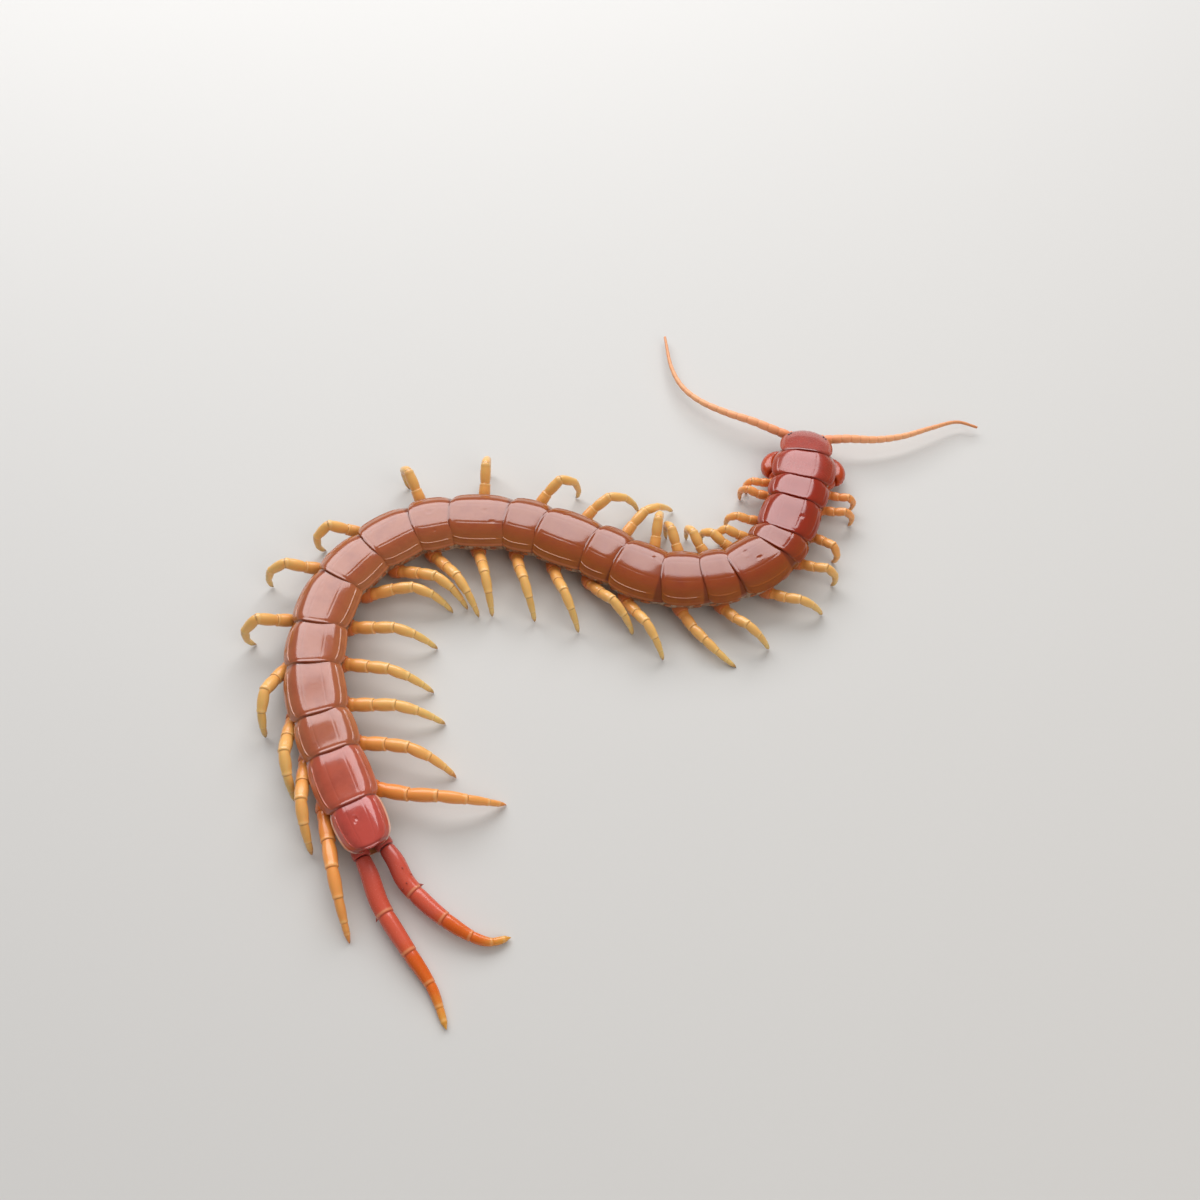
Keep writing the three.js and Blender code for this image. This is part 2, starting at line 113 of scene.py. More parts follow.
def copyOf(piece, name):
    twin = piece.copy()
    twin.data = piece.data.copy()
    twin.name = name
    twin.data.name = name
    bpy.context.scene.collection.objects.link(twin)
    return twin


def removePieces(*pieces):
    for piece in pieces:
        bpy.data.objects.remove(piece)


def between(rows, place):
    # the value at a place, or at many, between the rows of a short list of (place, value)
    return np.interp(place, [row[0] for row in rows], [row[1] for row in rows])


def bell(value, middle, width):
    # 1 at the middle value, falling off smoothly on both sides
    return np.exp(-((value - middle) / width) ** 2)


def keepStraightPlaces(piece, number=0.0, scale=1, rows=None):
    # the places before the piece is bent are kept for its material, those of a plate as shares of its width
    places = pointsOf(piece) * np.array(scale)
    if rows:
        places[:, 1] /= between(rows, -places[:, 0])
    layer = piece.data.attributes.new("straight", "FLOAT_VECTOR", "POINT")
    layer.data.foreach_set("vector", places.astype(np.float32).ravel())
    numbers = piece.data.attributes.new("number", "FLOAT", "POINT")
    numbers.data.foreach_set("value", np.full(len(places), number, np.float32))


def finishPiece(piece, material, slot, *nodes):
    piece.data.materials.clear()
    piece.data.materials.append(material)
    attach(piece, "root")
    if nodes:
        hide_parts(*nodes)
    return piece


def curvePoint(points, share):
    # a centripetal curve through the points, at a share of its spans
    place = share * (len(points) - 1)
    span = min(int(place), len(points) - 2)
    weight = place - span
    p1, p2 = points[span], points[span + 1]
    p0 = points[span - 1] if span > 0 else 2 * p1 - p2
    p3 = points[span + 2] if span + 2 < len(points) else 2 * p2 - p1
    d0, d1, d2 = [math.sqrt(np.linalg.norm(b - a)) for a, b in ((p0, p1), (p1, p2), (p2, p3))]
    t1 = ((p1 - p0) / d0 - (p2 - p0) / (d0 + d1) + (p2 - p1) / d1) * d1
    t2 = ((p2 - p1) / d1 - (p3 - p1) / (d1 + d2) + (p3 - p2) / d2) * d1
    a = 2 * p1 - 2 * p2 + t1 + t2
    b = -3 * p1 + 3 * p2 - 2 * t1 - t2
    return ((a * weight + b) * weight + t1) * weight + p1


def curvePoints(points, count):
    points = [np.array(point, float) for point in points]
    return np.array([curvePoint(points, number / count) for number in range(count + 1)])


class Route:
    # a line of places with the way along it, to its left and over it
    def __init__(self, places, overs=(0.0, 0.0, 1.0), backwards=False):
        self.places = np.array(places, float)
        steps = np.linalg.norm(np.diff(self.places, axis=0), axis=1)
        self.reach = np.concatenate([[0], np.cumsum(steps)])
        self.length = self.reach[-1]
        along = np.gradient(self.places, axis=0)
        self.sign = -1 if backwards else 1
        self.along = self.sign * along / np.linalg.norm(along, axis=1)[:, None]
        left = np.cross(overs, self.along)
        self.left = left / np.linalg.norm(left, axis=1)[:, None]
        self.over = np.cross(self.along, self.left)

    def at(self, distances):
        # straight on beyond the ends
        inside = np.clip(distances, 0, self.length)
        found = []
        for table in (self.places, self.along, self.left, self.over):
            found.append(np.stack([np.interp(inside, self.reach, table[:, k]) for k in range(3)], 1))
        for way in found[1:]:
            way /= np.linalg.norm(way, axis=1)[:, None]
        found[0] += found[1] * (self.sign * (distances - inside))[:, None]
        return found

    def matrixAt(self, distance):
        place, along, left, over = [rows[0] for rows in self.at(np.array([float(distance)]))]
        return Matrix([[along[k], left[k], over[k], place[k]] for k in range(3)] + [[0, 0, 0, 1]])


def layAlong(piece, route, stiffness=0.0):
    # a straight piece comes onto the route, wholly bent or partly stiff about its own middle
    points = pointsOf(piece)
    distances = points[:, 0] * route.sign
    place, along, left, over = route.at(distances)
    bent = place + left * points[:, 1:2] + over * points[:, 2:3]
    if stiffness:
        middle = (distances.min() + distances.max()) / 2
        frameThere = np.array(route.matrixAt(middle))
        local = points.copy()
        local[:, 0] -= route.sign * middle
        stiff = local @ frameThere[:3, :3].T + frameThere[:3, 3]
        bent = bent * (1 - stiffness) + stiff * stiffness
    movePoints(piece, bent)


def roundPiece(piece, route, material, slot, *nodes, radius=mm, number=0, scale=1):
    # a straight piece, a unit long, takes the length and the thickness that it needs on its route
    keepStraightPlaces(piece, number, scale)
    piece.data.transform(Matrix.Diagonal((route.length, radius, radius, 1)))
    layAlong(piece, route)
    smooth(piece, 60)
    finishPiece(piece, material, slot, *nodes)


def standingPiece(piece, place, aim, material, slot, size=(mm, mm, mm), number=0, scale=1):
    # a straight piece stands at the place with its length along the aim
    keepStraightPlaces(piece, number, scale)
    turn = aim.to_track_quat("X", "Z").to_matrix().to_4x4()
    piece.data.transform(Matrix.Translation(place) @ turn @ Matrix.Diagonal((*size, 1)))
    smooth(piece, 60)
    finishPiece(piece, material, slot)


def outlineSection(half, wide, high):
    # places round a section, evenly along its outline: half of it from the top to the bottom
    half = np.array(half)
    reach = np.concatenate([[0], np.cumsum(np.linalg.norm(np.diff(half * [wide, high], axis=0), axis=1))])

    def section(turns):
        share = np.abs(np.mod(turns - math.pi / 2 + math.pi, 2 * math.pi) - math.pi) / math.pi
        side = np.interp(share * reach[-1], reach, half[:, 0]) * np.where(np.cos(turns) < 0, -1, 1)
        return side, np.interp(share * reach[-1], reach, half[:, 1])

    return section


def extrudedPiece(name, sides, rings, levels=1, section=None):
    # a ring drawn out along X: place, half width, half height and level of its middle at each stop,
    # or only place and radius
    rings = [(*ring, ring[1], 0) if len(ring) == 2 else ring for ring in rings]
    clearSelection()
    at, wide, high, level = rings[0]
    bpy.ops.mesh.primitive_circle_add(
        vertices=sides, radius=1, fill_type="NGON", rotation=(0, math.pi / 2, 0), location=(0, 0, 0)
    )
    piece = bpy.context.object
    piece.name = name
    bpy.ops.object.transform_apply(location=True, rotation=True, scale=True)
    if section:
        points = pointsOf(piece)
        side, rise = section(np.arctan2(points[:, 2], points[:, 1]))
        movePoints(piece, np.stack([points[:, 0], side, rise], 1))
    editMesh(piece)
    bpy.ops.mesh.select_all(action="SELECT")
    bpy.ops.transform.resize(value=(1, wide, high), center_override=(0, 0, 0))
    bpy.ops.transform.translate(value=(at, 0, level))
    for nextAt, nextWide, nextHigh, nextLevel in rings[1:]:
        step = (nextAt - at, 0, nextLevel - level)
        bpy.ops.mesh.extrude_region_move(TRANSFORM_OT_translate={"value": step})
        at, level = nextAt, nextLevel
        value = (1, nextWide / wide, nextHigh / high)
        bpy.ops.transform.resize(value=value, center_override=(at, 0, level))
        wide, high = nextWide, nextHigh
    bpy.ops.object.mode_set(mode="OBJECT")
    facesOutwards(piece)
    subdivide(piece, levels)
    return piece


body = dict(
    line=[
        (37.5, 47), (37, 37.5), (33.9, 26), (28.3, 14.1), (20.5, 9), (7, 8), (-7, 15), (-23.5, 21),
        (-42, 19.2), (-54.5, 7), (-57.1, -12), (-51.2, -30), (-43.2, -46),
    ],
    plateLengths=[
        6.5, 5.5, 8.5, 4.5, 9.5, 6, 7.5, 9, 6.5, 10.5, 7, 11, 7.5, 9.5, 9, 10.5, 8.5, 10.5, 8, 10.5, 8,
    ],
    widths=[
        (1, 12.9), (2, 12.2), (3, 12), (5, 12.4), (8, 12.8), (13, 12.8), (15, 11.8), (17, 11.4), (20, 10.6),
        (21, 9.2),
    ],
    divisions=800,
    stations=600,
    outlineMiddle=(1.7, 1.0),
)
plateCount = len(body["plateLengths"])
middleX, middleY = body["outlineMiddle"]
shift = np.array([-middleX, -middleY, 0])


def bodyRoute():
    # the line behind the head, in the finished place and in metres
    points = [np.array([x, y, 0.0]) for x, y in body["line"]]
    spans = body["divisions"]
    places = curvePoints(points, spans)
    steps = np.linalg.norm(np.diff(places, axis=0), axis=1)
    reach = np.concatenate([[0], np.cumsum(steps)])
    neckStart = reach[round(spans / (len(points) - 1))]
    distances = np.linspace(neckStart, reach[-1], body["stations"])
    shares = np.interp(distances, reach, np.arange(spans + 1) / spans)
    onLine = np.array([curvePoint(points, share) for share in shares])
    return Route((onLine + shift) * mm, backwards=True)


def drawnPlaces(rows):
    # places of the drawing in mm, in the finished place and in metres
    return [Vector((np.array(row) + shift) * mm) for row in rows]


def placeIn(matrix, side, ahead, out, rise):
    # a place in mm in the frame of a part, on its left or right side
    return matrix @ Vector((ahead * mm, side * out * mm, rise * mm))


trunk = bodyRoute()
lengths = np.array(body["plateLengths"])
plateEdges = np.concatenate([[0], np.cumsum(lengths)]) / lengths.sum() * trunk.length
print("body line", round(trunk.length / mm, 1), "mm")


def onPlate(number, share):
    # the distance along the trunk at a share of a plate
    return plateEdges[number - 1] + share * (plateEdges[number] - plateEdges[number - 1])


def bodyWidth(plate):
    return between(body["widths"], plate) * mm


class Wire:
    # one output socket, which takes part in sums
    def __init__(self, paint, socket):
        self.paint, self.socket = paint, socket

    def sum(self, operation, other=None, turned=False):
        values = [self] if other is None else [other, self] if turned else [self, other]
        return self.paint.add("ShaderNodeMath", dict(operation=operation), values)

    def __add__(self, other):
        return self.sum("ADD", other)

    def __radd__(self, other):
        return self.sum("ADD", other, True)

    def __sub__(self, other):
        return self.sum("SUBTRACT", other)

    def __rsub__(self, other):
        return self.sum("SUBTRACT", other, True)

    def __mul__(self, other):
        return self.sum("MULTIPLY", other)

    def __rmul__(self, other):
        return self.sum("MULTIPLY", other, True)

    def __abs__(self):
        return self.sum("ABSOLUTE")


class Paint:
    # the node tree of one material
    def __init__(self, name):
        self.material = bpy.data.materials.new(name)
        self.material.use_nodes = True
        self.tree = self.material.node_tree
        self.shader = self.tree.nodes["Principled BSDF"]

    def plug(self, socket, value):
        if isinstance(value, Wire):
            self.tree.links.new(value.socket, socket)
        else:
            socket.default_value = value

    def add(self, kind, settings=None, values=(), output=0):
        node = self.tree.nodes.new(kind)
        for name, value in (settings or {}).items():
            setattr(node, name, value)
        pairs = values.items() if isinstance(values, dict) else enumerate(values)
        for place, value in pairs:
            self.plug(node.inputs[place], value)
        return Wire(self, node.outputs[output])

    def mix(self, mask, first, second):
        return self.add("ShaderNodeMix", dict(data_type="RGBA"), {0: mask, 6: first, 7: second}, 2)

    def ramp(self, value, stops):
        wire = self.add("ShaderNodeValToRGB", None, [value])
        elements = wire.socket.node.color_ramp.elements
        while len(elements) < len(stops):
            elements.new(0.5)
        for element, (place, *colour) in zip(elements, stops):
            element.position = place
            element.color = rgb(*colour)
        return wire

    def step(self, value, low, high):
        # 0 below the low value, 1 above the high one, smooth between
        settings = dict(interpolation_type="SMOOTHSTEP")
        return self.add("ShaderNodeMapRange", settings, {0: value, 1: low, 2: high, 3: 0.0, 4: 1.0})

    def band(self, value, middle, width):
        # 1 at the middle value, falling to 0 at the width
        return 1 - self.step(abs(value - middle), 0.0, width)

    def noise(self, scale, detail=3.0, roughness=0.55, stretch=None):
        place = self.add("ShaderNodeTexCoord", output=3)
        if stretch:
            place = self.add("ShaderNodeMapping", None, {0: place, 3: stretch})
        values = {"Vector": place, "Scale": scale, "Detail": detail, "Roughness": roughness}
        return self.add("ShaderNodeTexNoise", None, values)

    def straight(self):
        # the places that the piece had before it was bent, as three numbers
        layer = self.add("ShaderNodeAttribute", dict(attribute_name="straight"), output=1)
        first = self.add("ShaderNodeSeparateXYZ", None, [layer])
        return [Wire(self, socket) for socket in first.socket.node.outputs]

    def number(self):
        return self.add("ShaderNodeAttribute", dict(attribute_name="number"), output=2)

    def bump(self, height, strength, distance):
        values = {"Strength": strength, "Distance": distance, "Height": height}
        return self.add("ShaderNodeBump", None, values)

    def finish(self, **sockets):
        for name, value in sockets.items():
            self.plug(self.shader.inputs[name.replace("_", " ")], value)
        return self.material


def rgb(red, green, blue):
    # a colour as a screen shows it, 0 to 255, as the shader wants it
    def plain(value):
        value /= 255
        return value / 12.92 if value < 0.04045 else ((value + 0.055) / 1.055) ** 2.4
    return (plain(red), plain(green), plain(blue), 1.0)


shell = dict(
    tops=[
        (0, 164, 62, 48), (0.05, 158, 50, 32), (0.1, 146, 38, 14), (0.16, 142, 40, 12), (0.22, 142, 60, 20),
        (0.5, 146, 68, 24), (0.7, 162, 86, 50), (0.93, 168, 88, 58), (0.97, 184, 74, 58), (1, 184, 72, 60),
    ],
    sides=[
        (0, 168, 66, 42), (0.05, 162, 56, 26), (0.1, 154, 48, 14), (0.16, 150, 50, 12), (0.22, 150, 76, 18),
        (0.5, 156, 86, 26), (0.7, 174, 104, 60), (0.93, 176, 104, 68), (0.97, 188, 84, 64),
        (1, 188, 82, 66),
    ],
    line=rgb(84, 24, 14),
    # the colour of the painted highlight along the side rim
    rim=rgb(214, 138, 104),
    lastRim=rgb(240, 200, 176),
    roughness=0.17,
)


def shellMaterial(name, dull=0.0):
    paint = Paint(name)
    along, across, _ = paint.straight()
    share, side = along * -1, abs(across)
    number = paint.number()
    top = paint.ramp(number, shell["tops"])
    flank = paint.ramp(number, shell["sides"])
    cloud = paint.noise(420.0, 4.0)
    fine = paint.noise(2600.0, 3.0)
    colour = paint.mix(paint.step(side + (cloud - 0.5) * 0.3, 0.5, 0.9), top, flank)
    colour = paint.mix(paint.step(cloud, 0.38, 0.75) * 0.3, colour, rgb(122, 34, 22))
    suture = paint.band(side, plate["groovePlace"], 0.018) * paint.step(share, 0.0, 0.1)
    colour = paint.mix(suture * 0.12, colour, shell["line"])
    # a pale line on the raised side rim as a painted highlight, the last plate's own pale margin, and dark
    # lines at front and rear
    last = paint.step(number, 0.97, 0.99)
    # painted highlight: a pale band along the side rim, fading in from the early plates to the middle ones
    rim = paint.band(side, 0.97, 0.035) * paint.step(number, 0.2, 0.5)
    colour = paint.mix(rim * 0.35, colour, shell["rim"])
    colour = paint.mix(paint.step(side, 0.92, 0.955) * last * 0.7, colour, shell["lastRim"])
    colour = paint.mix(paint.step(share, 0.975, 1.0) * 0.35, colour, shell["line"])
    colour = paint.mix((1 - paint.step(share, 0.0, 0.06)) * 0.55, colour, shell["line"])
    normal = paint.bump(fine * 0.25 + cloud * 0.5, 0.3, 0.00008)
    rough = fine * 0.1 + cloud * 0.1 + (shell["roughness"] - 0.1 + dull)
    return paint.finish(
        Base_Color=colour, Roughness=rough, Normal=normal, Coat_Weight=0.5, Coat_Roughness=0.06,
        Subsurface_Weight=0.06, Subsurface_Scale=0.0006,
    )


def hornMaterial(name, main, dark, pale, roughness):
    # plain horn in two clouded tones with paler specks
    paint = Paint(name)
    cloud = paint.noise(700.0, 4.0)
    fine = paint.noise(3600.0, 3.0)
    colour = paint.mix(paint.step(cloud, 0.4, 0.72), rgb(*main), rgb(*dark))
    colour = paint.mix(paint.step(fine, 0.5, 0.8) * 0.4, colour, rgb(*pale))
    normal = paint.bump(fine * 0.5 + cloud, 0.3, 0.00008)
    return paint.finish(Base_Color=colour, Roughness=fine * 0.1 + roughness, Normal=normal, Coat_Weight=0.15)


def skinMaterial():
    # greyish soft skin, paler on its folds, and darker brown under the plates, where shade is painted
    paint = Paint("sideSkin")
    _, _, level = paint.straight()
    fold = paint.noise(1500.0, 5.0, 0.65, (1.0, 1.0, 0.45))
    cloud = paint.noise(300.0, 3.0)
    colour = paint.mix(paint.step(fold, 0.35, 0.65), rgb(132, 96, 74), rgb(196, 170, 144))
    colour = paint.mix(paint.step(cloud, 0.45, 0.7) * 0.5, colour, rgb(150, 100, 66))
    # painted shade: darker brown towards the top of the skin, under the overhanging plates
    colour = paint.mix(paint.step(level, 0.9, 1.6) * 0.8, colour, rgb(120, 54, 34))
    normal = paint.bump(fold, 0.6, 0.0003)
    return paint.finish(
        Base_Color=colour, Roughness=0.45, Normal=normal,
        Subsurface_Weight=0.1, Subsurface_Scale=0.0006,
    )


def legMaterial(name, stops, joints, marks=0.6, roughness=0.3, rings=0.3, rear=0.55):
    paint = Paint(name)
    along, _, over = paint.straight()
    number = paint.number()
    cloud = paint.noise(500.0, 4.0)
    fine = paint.noise(4000.0, 2.0)
    colour = paint.ramp(along + (cloud - 0.5) * 0.06, stops)
    if rear:
        # warmer clouds, and the foremost and rearmost pairs more orange
        colour = paint.mix(paint.step(cloud, 0.45, 0.8) * 0.2, colour, rgb(218, 142, 64))
        colour = paint.mix(paint.step(number, 0.86, 0.96) * rear, colour, rgb(238, 128, 46))
        colour = paint.mix((1 - paint.step(number, 0.08, 0.22)) * 0.5, colour, rgb(236, 124, 64))
    for joint in joints:
        ring = paint.band(along, joint - 0.012, 0.014)
        colour = paint.mix(ring * rings, colour, rgb(244, 208, 150))
        mark = paint.band(along, joint + 0.001, 0.005) * paint.step(over, 0.1, 0.7) * marks
        colour = paint.mix(mark, colour, rgb(104, 50, 24))
    normal = paint.bump(fine * 0.4 + cloud, 0.25, 0.00008)
    return paint.finish(
        Base_Color=colour, Roughness=roughness - 0.05 + fine * 0.1, Normal=normal,
        Coat_Weight=0.2, Coat_Roughness=0.15, Subsurface_Weight=0.15, Subsurface_Scale=0.0008,
    )


def feelerMaterial():
    paint = Paint("feelerHorn")
    along, _, _ = paint.straight()
    fine = paint.noise(5000.0, 3.0)
    stops = [(0.0, 232, 142, 94), (0.12, 242, 166, 116), (0.5, 240, 174, 124), (1.0, 216, 144, 94)]
    colour = paint.ramp(along, stops)
    article = paint.add("ShaderNodeMath", dict(operation="FRACT"), [along * feeler["articles"]])
    ring = paint.step(abs(article - 0.5), 0.4, 0.5)
    colour = paint.mix(ring * 0.4, colour, rgb(204, 118, 74))
    normal = paint.bump(fine, 0.3, 0.00006)
    return paint.finish(
        Base_Color=colour, Roughness=0.45, Normal=normal,
        Subsurface_Weight=0.15, Subsurface_Scale=0.0006,
    )


plate = dict(
    # across: share of the half width, and drop of the back there in mm
    columns=[
        (0, 0), (0.12, 0), (0.24, -0.01), (0.34, -0.05), (0.46, -0.15), (0.58, -0.34), (0.68, -0.62),
        (0.75, -0.9), (0.795, -1.1), (0.83, -1.265), (0.865, -1.44), (0.9, -1.64), (0.935, -1.85),
        (0.97, -2.08), (1, -2.36),
    ],
    # along: share of the length from the front, share of the width, lift in mm
    rows=[
        (-0.16, 0.84, -0.5), (-0.06, 0.875, -0.36), (0, 0.9, -0.27), (0.07, 0.93, -0.16),
        (0.16, 0.96, -0.06), (0.3, 0.988, 0), (0.45, 1, 0), (0.6, 1, 0), (0.74, 0.988, 0.01),
        (0.84, 0.962, 0.03), (0.91, 0.925, 0.06), (0.96, 0.875, 0.08), (0.995, 0.8, 0.09),
        (1.02, 0.7, 0.07),
    ],
    lastRows=[
        (-0.14, 0.84, -0.5), (-0.04, 0.9, -0.36), (0.03, 0.94, -0.24), (0.12, 0.975, -0.1),
        (0.25, 1, -0.02), (0.4, 1, 0), (0.55, 0.985, 0), (0.7, 0.955, -0.02), (0.82, 0.91, -0.05),
        (0.91, 0.84, -0.09), (0.98, 0.74, -0.13), (1.03, 0.62, -0.17), (1.07, 0.48, -0.2),
        (1.09, 0.34, -0.22),
    ],
    level=8.6,
    thickness=0.22,
    stiffness=0.5,
    rearSwell=0.3,
    rimDepth=0.13,
    groovePlace=0.34,
    grooveDepth=0.03,
    grooveWidth=0.11,
    # ridges of the rim: height as a share of its depth, distance from the edge and width in mm
    sideRidges=[(1.5, 0.92, 0.13), (0.5, 0.5, 0.3)],
    rearRidges=[(1, 0.22, 0.15), (-1, 0.55, 0.2)],
    # how the rim grows from the first plates to the ninth
    rimGrowth=[(1, 0.25), (4, 0.45), (9, 1)],
    # the lip round a scar: height as a share of its depth, distance and width as shares of its radius
    dentLip=(0.35, 1.3, 0.4),
    # small scars: number of the plate, place along it and across it, radius and depth in mm
    dents=[
        (5, 0.45, -0.1, 0.4, 0.1), (5, 0.62, 0.3, 0.7, 0.08), (8, 0.3, 0.35, 0.4, 0.12),
        (12, 0.25, -0.3, 0.35, 0.12), (12, 0.4, 0.1, 0.5, 0.06), (13, 0.5, -0.5, 0.4, 0.1),
        (13, 0.55, 0.2, 0.6, 0.06), (16, 0.35, 0.25, 0.5, 0.06), (21, 0.45, 0.12, 0.3, 0.2),
        (21, 0.5, 0.2, 0.25, 0.14), (3, 0.55, -0.4, 0.5, 0.05), (10, 0.6, 0.5, 0.4, 0.07),
    ],
)


def plateModel(name, rows, columns):
    # a grid whose rows and columns are moved in edit mode to the shape of a plate
    columns = [(-share, drop) for share, drop in reversed(columns[1:])] + columns
    clearSelection()
    bpy.ops.mesh.primitive_grid_add(x_subdivisions=len(rows) - 1, y_subdivisions=len(columns) - 1, size=2)
    piece = bpy.context.object
    piece.name = name
    points = pointsOf(piece)
    rowOf = np.rint((1 - points[:, 0]) / 2 * (len(rows) - 1)).astype(int)
    columnOf = np.rint((points[:, 1] + 1) / 2 * (len(columns) - 1)).astype(int)
    editMesh(piece)
    for number, (share, drop) in enumerate(columns):
        was = -1 + 2 * number / (len(columns) - 1)
        selectPoints(piece, np.flatnonzero(columnOf == number))
        bpy.ops.transform.translate(value=(0, share - was, drop * mm))
    for number, (share, width, lift, *high) in enumerate(rows):
        was = 1 - 2 * number / (len(rows) - 1)
        selectPoints(piece, np.flatnonzero(rowOf == number))
        bpy.ops.transform.resize(value=(1, width, high[0] if high else 1), center_override=(0, 0, 0))
        bpy.ops.transform.translate(value=(-share - was, 0, lift * mm))
    bpy.ops.object.mode_set(mode="OBJECT")
    subdivide(piece, 2)
    return piece


def carvePlate(
    piece, rows, length, halfWidth, rim, dents=(), swell=0.0, lastGroove=0.93, firstGroove=0.04, rearRim=0.3
):
    # the rim round the sides and the rear, the paired grooves along the back, and scars, in mm
    points = pointsOf(piece)
    along, side = -points[:, 0], points[:, 1]
    widths = between(rows, along)
    across = side / widths
    fromSide = (1 - np.abs(across)) * widths * halfWidth / mm
    fromRear = (rows[-1][0] - along) * length / mm
    sideRim = sum(high * bell(fromSide, place, wide) for high, place, wide in plate["sideRidges"])
    sideRim *= np.clip((along - 0.05) / 0.15, 0, 1) * np.clip((1.0 - along) / 0.1, 0, 1)
    lastRim = sum(high * bell(fromRear, place, wide) for high, place, wide in plate["rearRidges"])
    points[:, 2] += rim * mm * (sideRim + rearRim * lastRim)
    groove = bell(np.abs(across), plate["groovePlace"], plate["grooveWidth"] * mm / halfWidth)
    fade = np.clip((along - firstGroove) / 0.08, 0, 1) * np.clip((lastGroove - along) / 0.06, 0, 1)
    points[:, 2] -= plate["grooveDepth"] * mm * groove * fade
    lip, lipPlace, lipWidth = plate["dentLip"]
    for place, offset, radius, depth in dents:
        away = np.hypot((along - place) * length, (side - offset) * halfWidth) / mm / radius
        points[:, 2] += depth * mm * (lip * bell(away, lipPlace, lipWidth) - bell(away, 0, 1))
    # the rear edge is drawn out a little in the middle
    points[:, 0] -= swell * mm / length * np.clip(along, 0, 1) ** 6 * (1 - across ** 2)
    points[:, 0] *= length
    points[:, 1] *= halfWidth
    movePoints(piece, points)


def thicken(piece, thickness):
    facesOutwards(piece)
    if sum(face.normal.z for face in piece.data.polygons) < 0:
        piece.data.flip_normals()
    useModifier(piece, "SOLIDIFY", thickness=thickness * mm, offset=-1)


def trunkPlate(piece, number, rows, settings, halfWidth, material, straightRows=None, **carving):
    # a plate on the trunk, carved, thickened and bent along it
    start, end = plateEdges[number - 1], plateEdges[number]
    keepStraightPlaces(piece, number / plateCount, rows=straightRows)
    carvePlate(piece, rows, end - start, halfWidth, **carving)
    thicken(piece, settings["thickness"])
    piece.data.transform(Matrix.Translation((-start, 0, settings["level"] * mm)))
    layAlong(piece, trunk, settings["stiffness"])
    smooth(piece)
    finishPiece(piece, material, "shell_red_brown")


def backPlates(material, frontMaterial):
    plain = plateModel("plateModel", plate["rows"], plate["columns"])
    last = plateModel("lastPlateModel", plate["lastRows"], plate["columns"])
    for number in range(1, plateCount + 1):
        isLast = number == plateCount
        rows = plate["lastRows"] if isLast else plate["rows"]
        piece = copyOf(last if isLast else plain, f"back_plate_{number:02d}")
        finish = frontMaterial if number == 1 else material
        trunkPlate(
            piece, number, rows, plate, bodyWidth(number) / 2, finish, rows,
            rim=plate["rimDepth"] * between(plate["rimGrowth"], number),
            dents=[dent[1:] for dent in plate["dents"] if dent[0] == number],
            swell=plate["rearSwell"] * (3 if isLast else 1),
            rearRim=0.9 if isLast else 0.3,
        )
    removePieces(plain, last)


belly = dict(
    columns=[(0, 0), (0.25, 0), (0.5, 0.01), (0.75, 0.06), (0.92, 0.16), (1, 0.3)],
    rows=[
        (0, 0.84, 0.1), (0.05, 0.93, 0.03), (0.2, 1, 0), (0.5, 1.02, 0), (0.8, 0.98, 0), (0.93, 0.9, 0),
        (0.985, 0.8, 0.04),
    ],
    widthShare=0.56,
    lastTaper=0.82,
    level=2.12,
    thickness=0.14,
    stiffness=0.3,
)


def bellyPlates(material):
    model = plateModel("bellyModel", belly["rows"], belly["columns"])
    for number in range(1, plateCount + 1):
        piece = copyOf(model, f"belly_plate_{number:02d}")
        taper = belly["lastTaper"] if number == plateCount else 1
        halfWidth = bodyWidth(number) / 2 * belly["widthShare"] * taper
        trunkPlate(piece, number, belly["rows"], belly, halfWidth, material, rim=-0.04, lastGroove=0.8)
    removePieces(model)


skin = dict(
    # half a section from the back round to the belly: share of the half width, and height in mm
    half=[
        (0, 8), (0.4, 7.8), (0.7, 7.2), (0.87, 6.3), (0.91, 5.7), (0.915, 5.2), (0.88, 4.6), (0.86, 4),
        (0.82, 3.4), (0.7, 2.7), (0.56, 2.3), (0.3, 2.22), (0, 2.2),
    ],
    middle=5.2,
    # along each plate: share, and swelling of the width and of the height
    rings=[
        (0, 0.9, 0.955), (0.08, 0.94, 0.97), (0.2, 0.985, 0.99), (0.35, 1.01, 1), (0.5, 1, 1),
        (0.62, 1.01, 1), (0.78, 0.985, 0.99), (0.92, 0.94, 0.97),
    ],
    # the closed end: mm before the end of the trunk, shares of the last width and height
    tailRings=[(1.5, 0.86, 0.84), (1.1, 0.6, 0.55)],
    neckInset=0.25,
    halfWidth=6.2,
    sides=44,
    wrinkle=0.07,
)


